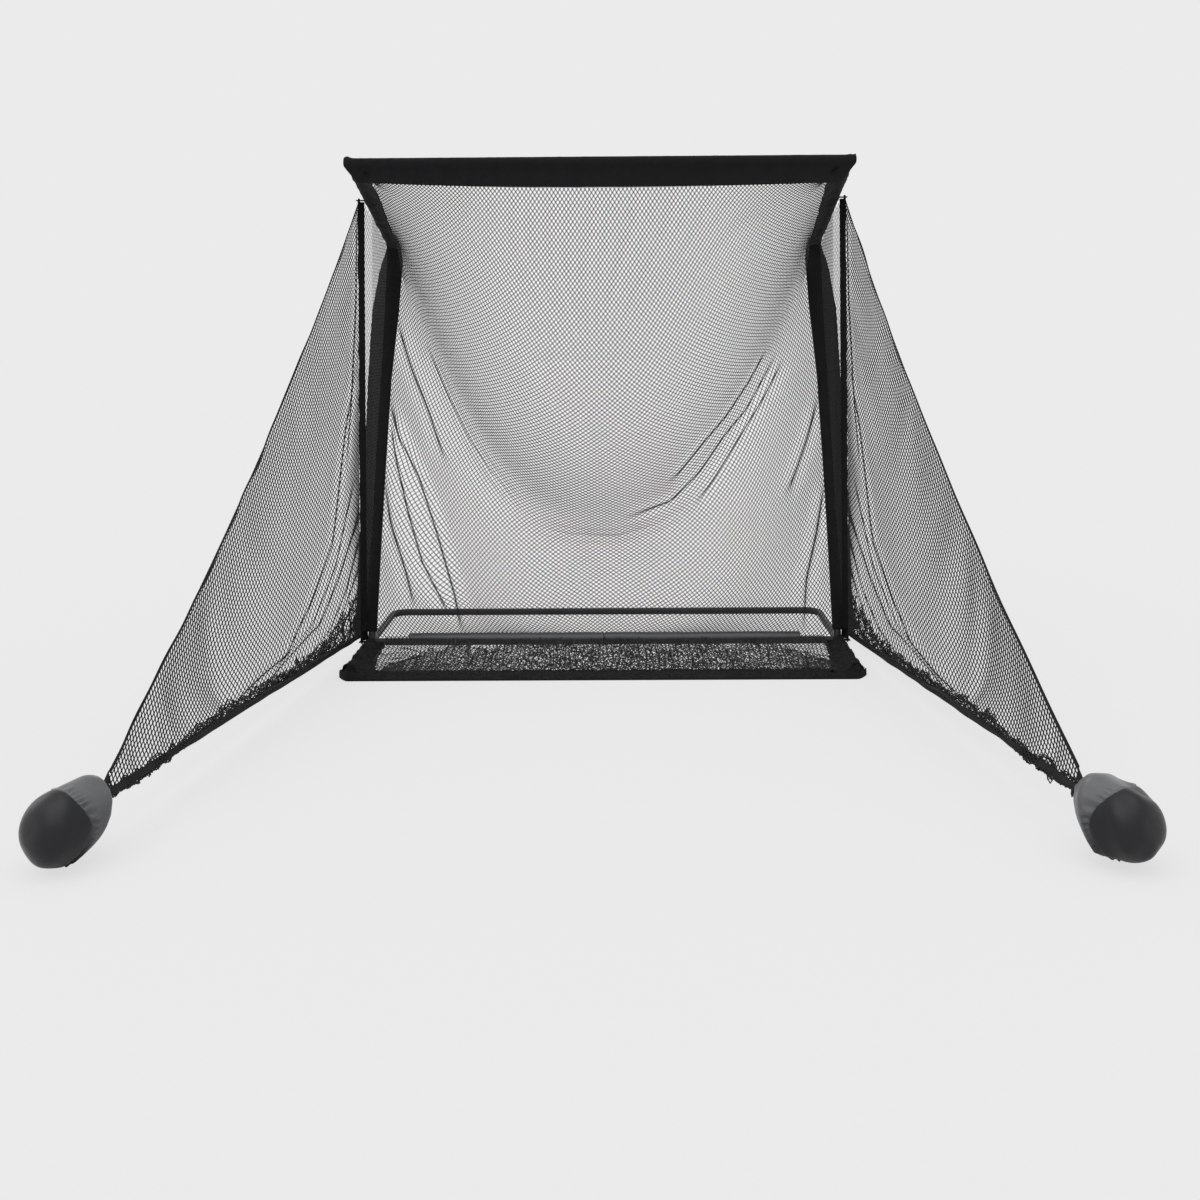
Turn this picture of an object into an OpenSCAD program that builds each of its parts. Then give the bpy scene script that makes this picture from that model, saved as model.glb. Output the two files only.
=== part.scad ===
// Golf practice net: a push-together tube frame, a loose pocket net on fabric sleeves,
// a foam roll on the crossbar, and two swinging side barriers held out by sandbags.
// +X is to the right, +Y is away from the golfer, +Z is up, and the floor is z = 0.

/* [Frame] */
// Outside width over the two side frames
frame_width = 2134; // [1800:10:2500]
// Outside diameter of the frame tube
tube_d = 32; // [30:1:38]
// Wall of the frame tube
tube_wall = 1.5; // [1.2:0.1:2]
// Length of the base, from its front ends to the middle of the rear rail
base_depth = 1050; // [950:10:1300]
// Distance from the front ends of the base to the crossbar and the legs
foot_back = 480; // [400:10:560]
// Length of a leg, from the base to the elbow's corner
leg_length = 1900; // [1700:10:2100]
// Lean of the legs towards the rear, in degrees
leg_lean = 17.5; // [12:0.5:20]
// Length of an arm, from the elbow's corner to the top bar
arm_length = 1005; // [900:5:1100]
// Radius of the bends, at the middle of the tube
bend_r = 70; // [60:5:90]
// Straight run of a rear corner piece towards the front
corner_run = 150; // [100:10:200]
// Distance of each rear rail joint from the middle
rail_joint = 310; // [250:10:450]
// Distance of the leg's joint from the base
leg_joint = 950; // [800:10:1100]
// Straight run of the elbow piece along the arm
elbow_run = 90; // [80:5:140]
// Length of a welded stub, from the middle of the tube that carries it to its shoulder
stub_run = 36; // [34:1:60]
// Length of a swaged end
swage_length = 60; // [58:1:80]
// Radial clearance of a swaged end in its tube
swage_gap = 0.15; // [0.1:0.05:0.3]
// Distance that the top bar runs past the outer side of each arm
bar_past = 4; // [2:1:10]
// Thickness of the rim of a tube's end cap
cap_rim = 4; // [2:0.5:6]
// Depth of an end cap's plug in its tube
cap_plug = 16; // [10:1:24]

/* [Snap buttons] */
// Diameter of a snap button
button_d = 8; // [6:0.5:9]
// Height of a snap button over its tube
button_rise = 2.5; // [2:0.1:3]
// Distance of a snap button from the shoulder of its swaged end
button_in = 20; // [18:1:24]
// Radial clearance of a snap button in its holes
button_gap = 0.3; // [0.2:0.05:0.5]
// Width of the spring leaf under a snap button
leaf_width = 9; // [6:0.5:10]
// Thickness of the spring leaf
leaf_thickness = 1; // [0.8:0.1:1.2]

/* [Fabric] */
// Thickness of one layer of sleeve fabric
fabric = 1.5; // [1:0.1:2]
// Thickness of a sleeve's flat, doubled flap
flap_thickness = 3; // [2:0.5:4]
// Clearance between a sleeve and its tube
sleeve_gap = 0.3; // [0.2:0.1:0.6]
// Clearance between pieces that are sewn to each other
sewn_gap = 0.4; // [0.3:0.1:0.6]
// Drop of the top sleeve under the middle of the bar
top_drop = 110; // [80:5:150]
// Reach of the arm sleeves from the middle of the arm
arm_flap = 85; // [60:5:110]
// Outward reach of the leg sleeves from the middle of the leg
leg_flap_out = 78; // [60:1:90]
// Inward reach of the leg sleeves at the elbow
leg_flap_top = 55; // [40:1:80]
// Inward reach of the leg sleeves at the foot
leg_flap_foot = 22; // [20:1:40]
// Height of the leg sleeves' lower edge, measured along the leg
leg_sleeve_low = 45; // [42:1:80]
// Inward reach of the base sleeves
base_flap = 62; // [40:1:90]
// Depth of the front hem on the floor, from its front edge to its rear edge
hem_depth = 145; // [120:5:180]
// Distance from the front ends of the base to the hem's front edge
hem_front = 85; // [60:5:110]
// Distance that the hem reaches past the middle of each base tube
hem_past = 32; // [20:1:34]
// Radius of the roll along the hem's front edge
hem_roll = 6; // [4:0.5:8]

/* [Foam roll] */
// Diameter of the foam roll
foam_d = 56; // [50:1:70]
// Distance from the middle of a base tube to the foam's end
foam_end = 171; // [120:1:250]
// Gap between each half of the foam roll and the middle
foam_seam = 0.5; // [0.5:0.5:2]
// Width of the slit along the foam's underside
foam_slit = 22; // [18:1:26]

/* [Netting] */
// Thickness of the netting
net_thickness = 3; // [2:0.5:4]
// Width of a bar of the netting
net_bar = 9; // [6:1:14]
// Columns of meshes across the main net
net_columns = 10; // [6:1:12]
// Rows of meshes down the main net
net_rows = 9; // [6:1:11]
// Width of a mesh in the flat nets
mesh_width = 150; // [120:5:200]
// Height of a mesh in the flat nets
mesh_height = 190; // [150:5:240]
// Rearmost reach of the pocket from the front ends of the base
pocket_back = 760; // [620:10:860]

/* [Side barriers] */
// Distance from the middle of the base tube out to the barrier's hinge line
hinge_out = 44; // [40:1:60]
// Angle by which a barrier stands open from straight ahead
barrier_open = 7; // [5:0.5:20]
// Length of a barrier, from the hinge line to the bag's neck
barrier_reach = 2200; // [1800:10:2400]
// Inward bow of the barrier's sloping edge
barrier_bow = 80; // [20:5:120]
// Diameter of the hinge cord
cord_d = 5; // [4:0.5:8]
// Radial clearance of the hem around the hinge cord
cord_gap = 0.08; // [0.05:0.01:0.1]
// Wall of the hem around the hinge cord
hem_wall = 2; // [1.5:0.1:2.5]
// Reach of the hem from the hinge line
hem_reach = 20; // [14:1:30]
// Thickness of the webbing along the barrier's edges
band_thickness = 3; // [2:0.5:4]
// Width of the webbing on the sloping edge
slope_band = 12; // [10:1:20]
// Width of the webbing on the lower edge
lower_band = 28; // [20:1:40]
// Height of the barrier's lower edge at the hinge
barrier_low = 36; // [32:1:60]
// Height of the opening that the barrier leaves at the bag's neck
neck_height = 75; // [60:5:100]

/* [Sandbags] */
// Length of a sandbag along its own axis
bag_length = 278; // [240:2:320]
// Diameter of a sandbag
bag_d = 190; // [160:2:220]
// Tilt of a sandbag's axis from the floor
bag_tilt = 28; // [20:1:35]
// Turn of a sandbag's axis away from its barrier
bag_turn = 35; // [20:1:45]
// Thickness of the bag's skin
bag_skin = 3; // [2:0.5:4]
// Radius of the bag's neck
neck_r = 22; // [18:1:28]
// Level of the sand, as a height over the floor
sand_level = 150; // [120:5:160]

/* [Hidden] */

$fn = 64;
eps = 0.01;
// How far a cut runs past its solid, and a block that is larger than the whole part
over = 1;
space = 8000;

// Tube sizes
tube_r = tube_d / 2;
bore_r = tube_r - tube_wall;
swage_r = bore_r - swage_gap;
swage_bore_r = swage_r - tube_wall;
swage_root = 8;

// Side frame, as [y, z] points, with y measured from the front ends of the base
half_w = frame_width / 2 - tube_r;
foot = [foot_back, tube_r];
leg_dir = [sin(leg_lean), cos(leg_lean)];
arm_dir = [-cos(leg_lean), sin(leg_lean)];
elbow = foot + leg_length * leg_dir;
top = elbow + arm_length * arm_dir;
corner_joint = base_depth - bend_r - corner_run;
top_bar_end = half_w + tube_r + bar_past;

// Snap button sizes, measured from the tube's axis
button_r = button_d / 2;
button_top_z = tube_r + button_rise;
button_taper = 1.5;
leaf_gap = 0.3;
leaf_top = sqrt(pow(swage_bore_r - leaf_gap, 2) - pow(leaf_width / 2, 2));
leaf_back = 7;
leaf_front = 23;
leaf_slot = 0.4;
stub_button_at = stub_run + button_in;

// Sleeve sizes
sleeve_r = tube_r + sleeve_gap;
sleeve_out_r = sleeve_r + fabric;
flap_root = sleeve_r + fabric / 2;
eyelet_r = button_r + 3;
arm_flap_drop = 35;
arm_sleeve_start = tube_r + 6;
top_ring_end = half_w - tube_r - 4;
base_sleeve_length = foot_back - tube_r - 5;
hem_inner = half_w - base_flap - sewn_gap;
hem_rear = hem_depth - hem_front;

// Foam roll, which rests on the floor net's rear edge
foam_r = foam_d / 2;
foam_length = half_w - foam_end - foam_seam;
front_net_rear = foot_back - sqrt(pow(foam_r, 2) - pow(foam_r - net_thickness, 2)) - sewn_gap;

// Hinge line of a barrier, as [x, y], and its two ties
hinge = [half_w + hinge_out, foot_back];
tie_thickness = 4;
tie_width = 26;
tie_wall = 2.5;
tie_past = 11;
tie_gap = 0.3;
tie_low = tube_r;
tie_high = top[1] - (foot_back - top[0]) * tan(leg_lean);
tie_arm_at = (foot_back - top[0]) / cos(leg_lean);
saddle_low = 1;
knot_r = 6;
knot_length = 8;
cord_bore_r = cord_d / 2 + cord_gap;
hem_clear = 0.5;
hem_low = tie_low + tie_thickness / 2 + hem_clear;
hem_high = tie_high - tie_thickness / 2 - hem_clear;

// Side net: it closes the triangle between the arm, the leg and the hinge line, and lies on the
// outer side of their sleeves. Its outline holds [y, z] points.
side_net_x = half_w + sleeve_out_r + sewn_gap;
side_net_front = foot_back + tie_width / 2 + 3;
side_net_off_leg = flap_thickness / 2 + sewn_gap;
side_net_low_at = (side_net_front - foot[0] + side_net_off_leg * leg_dir[1]) / leg_dir[0];
side_net_outline = [
    foot + side_net_low_at * leg_dir + side_net_off_leg * arm_dir,
    foot + (leg_length - bend_r) * leg_dir + side_net_off_leg * arm_dir,
    elbow + bend_r * arm_dir,
    [side_net_front, top[1] - (side_net_front - top[0]) * tan(leg_lean)]
];

// Sandbag: half sizes, and its centre in the barrier's own frame
bag_a = bag_length / 2;
bag_b = bag_d / 2;
bag_steps = 20;
bag_flat = 0.5;
bag_z = sqrt(pow(bag_a * sin(bag_tilt), 2) + pow(bag_b * cos(bag_tilt), 2)) - bag_flat;
bag_neck = bag_a * sqrt(1 - pow(neck_r / bag_b, 2));
bag_dir = [cos(bag_turn) * cos(bag_tilt), sin(bag_turn) * cos(bag_tilt), -sin(bag_tilt)];
bag_centre = [barrier_reach + bag_neck * bag_dir[0], bag_neck * bag_dir[1], bag_z];
neck_z = bag_z - bag_neck * bag_dir[2];
neck_bore_r = neck_r - bag_skin;
collar_length = 8;
collar_wall = 3;
loop_length = 48;

// Outline of a barrier in its own plane: the ends of its sloping edge and of its lower edge
net_end = barrier_reach - loop_length;
slope_top = [hem_reach, hem_high - slope_band];
slope_low = [net_end, neck_z + neck_height / 2];
foot_hinge = [hem_reach, barrier_low];
foot_bag = [net_end, neck_z - neck_height / 2];
slope_run = slope_low - slope_top;
slope_normal = [-slope_run[1], slope_run[0]] / norm(slope_run);
slope_steps = 12;

// The part's origin is under the middle of its bounding box
bag_heading = cos(barrier_open + bag_turn) * cos(bag_tilt);
bag_front = sqrt(pow(bag_a * bag_heading, 2) + pow(bag_b, 2) * (1 - pow(bag_heading, 2)));
bag_y = hinge[1] - bag_centre[0] * cos(barrier_open) + bag_centre[1] * sin(barrier_open);
middle_y = (bag_y - bag_front + base_depth + tube_r) / 2;

// Main net: its edge's place off the sleeves, and shares of its height where the edge turns
net_gap = 0.6;
edge_gap = net_thickness / 2 + net_gap;
arm_edge_in = (arm_flap + edge_gap) * cos(arm_flap_drop);
arm_edge_down = (arm_flap + edge_gap) * sin(arm_flap_drop);
elbow_gap = 60;
arm_edge_at = arm_length - bend_r - elbow_gap;
leg_edge_at = leg_length - bend_r - elbow_gap;
leg_low_at = leg_sleeve_low + 10;
foam_back = foot_back + foam_r + edge_gap;
arm_share = 0.33;
leg_share = 0.44;
low_share = 0.97;
edge_power = 2.2;

// Side edge of the net from the top corner, past the elbow, to the foot: [share, [x, y, z]]
side_edge = [
    [0, [half_w - arm_edge_in, top[0], top[1] - top_drop - edge_gap]],
    [0.3 * arm_share, arm_edge(0.3 * arm_edge_at)],
    [arm_share, arm_edge(arm_edge_at)],
    [leg_share, leg_edge(leg_edge_at, leg_flap_top + edge_gap)],
    [low_share, leg_edge(leg_low_at, leg_flap_foot + edge_gap)],
    [1, [half_w - leg_flap_foot - 2 * edge_gap, foam_back, foam_r]]
];
side_x = [for (row = side_edge) [row[0], row[1][0]]];
side_y = [for (row = side_edge) [row[0], row[1][1]]];
side_z = [for (row = side_edge) [row[0], row[1][2]]];

// Middle of the net, as [y, z] points that steer a curve from the top bar to the foam roll
middle_curve = [
    [top[0], top[1] - top_drop - edge_gap],
    [top[0] + 90, 0.6 * top[1]],
    [0.75 * pocket_back, 0.22 * top[1]],
    [pocket_back, net_thickness],
    [foam_back, foam_r]
];

// Each mesh of the main net is a cross of four bars, and its points lie on a grid of shares
net_mesh = (2 * half_w / net_columns + leg_length / net_rows) / 2;
bar_share = net_bar / net_mesh;
mesh_corners = [for (j = [0 : net_rows], i = [0 : net_columns]) [i, j]];
mesh_across = [
    for (j = [0 : net_rows], i = [0 : net_columns - 1], k = [bar_share, 1 - bar_share]) [i + k, j]
];
mesh_down = [
    for (j = [0 : net_rows - 1], i = [0 : net_columns], k = [bar_share, 1 - bar_share]) [i, j + k]
];
mesh_middles = [
    for (j = [0 : net_rows - 1], i = [0 : net_columns - 1], k = [0 : 3])
        [i + 0.5 + bar_share * sin(90 * k), j + 0.5 - bar_share * cos(90 * k)]
];
mesh_points = concat(mesh_corners, mesh_across, mesh_down, mesh_middles);
across_start = len(mesh_corners);
down_start = across_start + len(mesh_across);
middle_start = down_start + len(mesh_down);
side_count = len(mesh_points);

// ---------------------------------------------------------------- places

module in_part() {
    translate([0, -middle_y, 0]) children();
}

module on_side(side) {
    if (side == "left") mirror([1, 0, 0]) children();
    else children();
}

// Along the leg: local +Z runs from the foot to the elbow, local +Y points rearward and down
module on_leg() {
    translate([half_w, foot[0], foot[1]]) rotate([-leg_lean, 0, 0]) children();
}

// The elbow's joint in the leg's own frame, where the arm runs along -Y
module on_leg_elbow_joint() {
    translate([0, -bend_r - elbow_run, leg_length]) rotate([90, 0, 0]) children();
}

// Along the arm: local +Z runs from the top bar down to the elbow, local +Y points down
module on_arm() {
    translate([half_w, top[0], top[1]]) rotate([-90 - leg_lean, 0, 0]) children();
}

// At the joint of the elbow piece and the arm: +Z points up the arm to the top bar,
// and a hole turned by 90 is on top
module at_elbow_joint() {
    on_arm() translate([0, 0, arm_length - bend_r - elbow_run]) rotate([180, 0, 0]) children();
}

// At the joint of the base side and the rear corner: +Z points forward into the base side,
// and a hole turned by 90 is on top
module at_corner_joint() {
    translate([half_w, corner_joint, tube_r]) rotate([90, 0, 0]) children();
}

// At the joint of the rear corner and the rear rail: +Z points outward into the corner
module at_rail_joint() {
    translate([rail_joint, base_depth, tube_r]) rotate([0, 90, 0]) children();
}

// At the joint of the two top bars: +Z points right, and a hole turned by 90 is at the rear
module at_top_joint() {
    translate([0, top[0], top[1]]) rotate([0, 90, 0]) children();
}

// Along a base tube: local +Z runs rearward from the tube's front end
module on_base() {
    translate([half_w, 0, tube_r]) rotate([-90, 0, 0]) children();
}

// Along the crossbar: local +Z runs inward from the middle of the base tube
module on_crossbar() {
    translate([half_w, foot_back, tube_r]) rotate([0, -90, 0]) children();
}

// Along the barrier: local +X runs from the hinge line to the bag, local +Z is up
module on_barrier() {
    translate([hinge[0], hinge[1], 0]) rotate([0, 0, -90 + barrier_open]) children();
}

// At the sandbag: local +Z runs from the neck down through the bag, from its centre
module on_bag() {
    translate(bag_centre) rotate([0, 0, bag_turn]) rotate([0, 90 + bag_tilt, 0]) children();
}

// In the barrier's upright plane: a flat shape with a thickness
module in_plane(thickness) {
    rotate([90, 0, 0]) translate([0, 0, -thickness / 2]) linear_extrude(thickness) children();
}

// ---------------------------------------------------------------- tube shapes

module pipe(length) {
    difference() {
        cylinder(r = tube_r, h = length);
        translate([0, 0, -over]) cylinder(r = bore_r, h = length + 2 * over);
    }
}

// A swaged end: its shoulder is at z = 0 and it points along +Z
module swage() {
    step = bore_r - swage_bore_r;
    rotate_extrude() polygon([
        [bore_r, -swage_root], [tube_r, -swage_root], [tube_r, 0], [swage_r, 0],
        [swage_r, swage_length], [swage_bore_r, swage_length],
        [swage_bore_r, -tube_wall], [bore_r, -tube_wall - step]
    ]);
}

// A stub along +Z from the middle of the tube that carries it, and the bore through it
module stub() {
    cylinder(r = tube_r, h = stub_run);
    cylinder(r = swage_r, h = stub_run + swage_length);
}

module stub_bore() {
    cylinder(r = swage_bore_r, h = stub_run + swage_length + over);
}

module bend() {
    rotate_extrude(angle = 90) translate([bend_r, 0]) difference() {
        circle(r = tube_r);
        circle(r = bore_r);
    }
}

// The hole for a button, at a distance along +Z, on the +X side turned by an angle
module button_hole(at, turn) {
    translate([0, 0, at]) rotate([0, 0, turn]) rotate([0, 90, 0])
        cylinder(r = button_r + button_gap, h = tube_r + over);
}

// Puts a button's frame at a distance along +Z: local +Z points out, local +X along the tube
module button_place(at, turn) {
    translate([0, 0, at]) rotate([0, 0, turn]) rotate([0, 90, 0]) rotate([0, 0, 180]) children();
}

// ---------------------------------------------------------------- frame tubes

// A base tube carries one swaged stub for the leg and one for the crossbar
module base_side(side) {
    color("#1d1d20") in_part() on_side(side) difference() {
        union() {
            on_base() cylinder(r = tube_r, h = corner_joint);
            on_leg() stub();
            on_crossbar() stub();
        }
        on_base() translate([0, 0, -over]) cylinder(r = bore_r, h = corner_joint + 2 * over);
        on_leg() stub_bore();
        on_crossbar() stub_bore();
        on_leg() button_hole(stub_button_at, 90);
        at_corner_joint() button_hole(button_in, 90);
    }
}

module rear_corner(side) {
    color("#1d1d20") in_part() on_side(side) difference() {
        union() {
            at_corner_joint() swage();
            on_base() translate([0, 0, corner_joint + swage_root]) pipe(corner_run - swage_root);
            translate([half_w - bend_r, base_depth - bend_r, tube_r]) bend();
            at_rail_joint() pipe(half_w - bend_r - rail_joint);
        }
        at_corner_joint() button_hole(button_in, 90);
        at_rail_joint() button_hole(button_in, 180);
    }
}

module rear_rail() {
    color("#1d1d20") in_part() difference() {
        union() {
            translate([-rail_joint + swage_root, base_depth, tube_r]) rotate([0, 90, 0])
                pipe(2 * (rail_joint - swage_root));
            at_rail_joint() swage();
            mirror([1, 0, 0]) at_rail_joint() swage();
        }
        at_rail_joint() button_hole(button_in, 180);
        mirror([1, 0, 0]) at_rail_joint() button_hole(button_in, 180);
    }
}

// A half of the crossbar is pushed over its stub, and the left half ends in a swage
module crossbar(side) {
    root = side == "left" ? swage_root : 0;
    color("#1d1d20") in_part() on_side(side) {
        on_crossbar() translate([0, 0, stub_run]) pipe(half_w - root - stub_run);
        if (side == "left") on_crossbar() translate([0, 0, half_w]) swage();
    }
}

module leg_lower(side) {
    color("#1d1d20") in_part() on_side(side) difference() {
        union() {
            on_leg() translate([0, 0, stub_run]) pipe(leg_joint - swage_root - stub_run);
            on_leg() translate([0, 0, leg_joint]) swage();
        }
        on_leg() button_hole(stub_button_at, 90);
        on_leg() button_hole(leg_joint + button_in, 90);
    }
}

module leg_upper(side) {
    color("#1d1d20") in_part() on_side(side) on_leg() difference() {
        union() {
            translate([0, 0, leg_joint]) pipe(leg_length - bend_r - leg_joint);
            translate([0, -bend_r, leg_length - bend_r]) rotate([90, 0, 90]) bend();
            translate([0, -bend_r, leg_length]) rotate([90, 0, 0]) pipe(elbow_run - swage_root);
            on_leg_elbow_joint() swage();
        }
        button_hole(leg_joint + button_in, 90);
        on_leg_elbow_joint() button_hole(button_in, 90);
    }
}

module arm(side) {
    color("#1d1d20") in_part() on_side(side) difference() {
        on_arm() translate([0, 0, stub_run]) pipe(arm_length - bend_r - elbow_run - stub_run);
        at_elbow_joint() button_hole(button_in, 90);
        on_arm() button_hole(stub_button_at, -90);
    }
}

// A top bar carries a swaged stub for its arm, and the left bar ends in a swage
module top_bar(side) {
    root = side == "left" ? swage_root : 0;
    color("#1d1d20") in_part() on_side(side) {
        difference() {
            union() {
                at_top_joint() translate([0, 0, root]) cylinder(r = tube_r, h = top_bar_end - root);
                on_arm() stub();
            }
            at_top_joint() translate([0, 0, root - over])
                cylinder(r = bore_r, h = top_bar_end - root + 2 * over);
            on_arm() stub_bore();
            on_arm() button_hole(stub_button_at, -90);
            if (side == "right") at_top_joint() button_hole(button_in, 90);
        }
        if (side == "left") difference() {
            translate([0, top[0], top[1]]) rotate([0, -90, 0]) swage();
            mirror([1, 0, 0]) at_top_joint() button_hole(button_in, 90);
        }
    }
}

// A cap's rim is at z = 0 and upward, and its plug points down the tube
module end_cap() {
    cylinder(r = tube_r, h = cap_rim);
    translate([0, 0, -cap_plug]) cylinder(r = swage_r, h = cap_plug + eps);
}

module tube_end_caps() {
    color("#101012") in_part() for (side = ["left", "right"]) on_side(side) {
        translate([half_w, 0, tube_r]) rotate([90, 0, 0]) end_cap();
        at_top_joint() translate([0, 0, top_bar_end]) end_cap();
    }
}

// ---------------------------------------------------------------- snap buttons

// The button and the free leaf of its clip, which move together
module button() {
    stem_low = leaf_top - leaf_thickness / 2;
    stem_high = button_top_z - button_taper;
    color("#b9bcc0") {
        translate([-leaf_back, -leaf_width / 2, leaf_top - leaf_thickness])
            cube([leaf_back + leaf_front, leaf_width, leaf_thickness]);
        translate([0, 0, stem_low]) cylinder(r = button_r, h = stem_high - stem_low);
        translate([0, 0, stem_high])
            cylinder(r1 = button_r, r2 = button_r - button_taper, h = button_taper);
    }
}

// The fixed leaf and the bend of a clip, against the far wall of the tube
module clip() {
    translate([-leaf_back, -leaf_width / 2, -leaf_top])
        cube([leaf_back + leaf_front + leaf_slot, leaf_width, leaf_thickness]);
    translate([leaf_front + leaf_slot, leaf_width / 2, 0]) rotate([90, 90, 0])
        rotate_extrude(angle = 180) translate([leaf_top - leaf_thickness, 0])
            square([leaf_thickness, leaf_width]);
}

module button_spots(which) {
    if (which == "rail") at_rail_joint() button_place(button_in, 180) children();
    if (which == "corner") at_corner_joint() button_place(button_in, 90) children();
    if (which == "foot") on_leg() button_place(stub_button_at, 90) children();
    if (which == "leg") on_leg() button_place(leg_joint + button_in, 90) children();
    if (which == "elbow") at_elbow_joint() button_place(button_in, 90) children();
    if (which == "arm") on_arm() button_place(stub_button_at, -90) children();
    if (which == "top") at_top_joint() button_place(button_in, 90) children();
}

module placed_button(which, side) {
    in_part() on_side(side) button_spots(which) button();
}

module button_clips() {
    color("#8d9095") in_part() {
        for (side = ["left", "right"]) on_side(side)
            for (which = ["rail", "corner", "foot", "leg", "elbow", "arm"])
                button_spots(which) clip();
        button_spots("top") clip();
    }
}

// ---------------------------------------------------------------- foam roll

// A slit tube of foam that is pressed over the crossbar and rests on the floor
module foam_roll(side) {
    color("#33363a") in_part() on_side(side) translate([foam_seam, foot_back, 0]) difference() {
        translate([0, 0, foam_r]) rotate([0, 90, 0]) cylinder(r = foam_r, h = foam_length);
        translate([-over, 0, tube_r]) rotate([0, 90, 0])
            cylinder(r = sleeve_r, h = foam_length + 2 * over);
        translate([-over, -foam_slit / 2, -over]) cube([foam_length + 2 * over, foam_slit, tube_r]);
    }
}

// ---------------------------------------------------------------- sleeves

module sleeve_ring(length) {
    difference() {
        cylinder(r = sleeve_out_r, h = length);
        translate([0, 0, -over]) cylinder(r = sleeve_r, h = length + 2 * over);
    }
}

// An eyelet in a sleeve over a button
module eyelet(at, turn) {
    translate([0, 0, at]) rotate([0, 0, turn]) rotate([0, 90, 0])
        cylinder(r = eyelet_r, h = sleeve_out_r + over);
}

// The top sleeve hangs as a flap in front of the net, and is notched round each arm
module top_sleeve() {
    color("#17171a") in_part() difference() {
        translate([0, top[0], top[1]]) {
            translate([-top_ring_end, 0, 0]) rotate([0, 90, 0]) sleeve_ring(2 * top_ring_end);
            translate([-top_bar_end, -flap_thickness / 2, -top_drop])
                cube([2 * top_bar_end, flap_thickness, top_drop - flap_root]);
        }
        at_top_joint() eyelet(button_in, 90);
        for (side = ["left", "right"]) on_side(side) on_arm() cylinder(r = sleeve_r, h = tube_d);
    }
}

module arm_sleeve(side) {
    length = arm_length - bend_r - arm_sleeve_start;
    color("#17171a") in_part() on_side(side) difference() {
        on_arm() translate([0, 0, arm_sleeve_start]) {
            sleeve_ring(length);
            rotate([0, 0, 180 - arm_flap_drop]) translate([flap_root, -flap_thickness / 2, 0])
                cube([arm_flap - flap_root, flap_thickness, length]);
        }
        on_arm() eyelet(stub_button_at, -90);
        at_elbow_joint() eyelet(button_in, 90);
    }
}

// The sleeve on the leg and round the elbow, with a wide flap outward and a tapered one inward
module leg_sleeve(side) {
    high = leg_length - bend_r;
    color("#17171a") in_part() on_side(side) difference() {
        on_leg() {
            translate([0, 0, leg_sleeve_low]) sleeve_ring(high - leg_sleeve_low);
            in_plane(flap_thickness) {
                translate([flap_root, leg_sleeve_low])
                    square([leg_flap_out - flap_root, high - leg_sleeve_low]);
                polygon([
                    [-flap_root, leg_sleeve_low], [-leg_flap_foot, leg_sleeve_low],
                    [-leg_flap_top, high], [-flap_root, high]
                ]);
            }
            translate([0, -bend_r, high]) rotate([90, 0, 90]) rotate_extrude(angle = 90)
                translate([bend_r, 0]) difference() {
                    circle(r = sleeve_out_r);
                    circle(r = sleeve_r);
                }
        }
        on_leg() eyelet(stub_button_at, 90);
        on_leg() eyelet(leg_joint + button_in, 90);
    }
}

// The sleeve on the base tube is pressed open by the floor, and its flap lies on the floor
module base_sleeve(side) {
    color("#17171a") in_part() on_side(side) intersection() {
        union() {
            on_base() sleeve_ring(base_sleeve_length);
            translate([half_w - base_flap, 0, 0])
                cube([base_flap - tube_r / 2, base_sleeve_length, flap_thickness]);
        }
        difference() {
            cube([frame_width, base_depth, frame_width]);
            on_base() translate([0, 0, -over]) cylinder(r = sleeve_r, h = base_depth);
        }
    }
}

// The band on the floor runs in front of the base tubes and between them
module front_hem() {
    outer = half_w + hem_past;
    step = -cap_rim - 2;
    color("#17171a") in_part() {
        linear_extrude(flap_thickness) polygon([
            [-outer, -hem_front], [outer, -hem_front], [outer, step], [hem_inner, step],
            [hem_inner, hem_rear], [-hem_inner, hem_rear], [-hem_inner, step], [-outer, step]
        ]);
        translate([-outer, -hem_front + hem_roll, hem_roll]) rotate([0, 90, 0])
            cylinder(r = hem_roll, h = 2 * outer);
    }
}

// ---------------------------------------------------------------- flat nets

// Crossed bars that leave upright diamonds, over a rectangle from the origin
module diamond_bars(width, height) {
    lean = atan(mesh_width / mesh_height);
    count = ceil((width + height * tan(lean)) / mesh_width);
    reach = height / cos(lean) + mesh_width;
    for (k = [0 : count]) {
        translate([k * mesh_width, 0]) rotate(lean)
            translate([-net_bar / 2, -mesh_width / 2]) square([net_bar, reach]);
        translate([width - k * mesh_width, 0]) rotate(-lean)
            translate([-net_bar / 2, -mesh_width / 2]) square([net_bar, reach]);
    }
}

module front_net() {
    low = hem_rear + sewn_gap;
    width = 2 * hem_inner;
    depth = front_net_rear - low;
    color("#1b1b1d") in_part() linear_extrude(net_thickness) translate([-hem_inner, low]) {
        intersection() {
            square([width, depth]);
            diamond_bars(width, depth);
        }
        difference() {
            square([width, depth]);
            translate([net_bar, net_bar]) square([width - 2 * net_bar, depth - 2 * net_bar]);
        }
    }
}

// A bar along an edge from a to b, half of it on each side of the edge
module edge_bar(a, b) {
    run = b - a;
    translate(a) rotate(atan2(run[1], run[0])) translate([-net_bar, -net_bar])
        square([norm(run) + 2 * net_bar, 2 * net_bar]);
}

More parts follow.
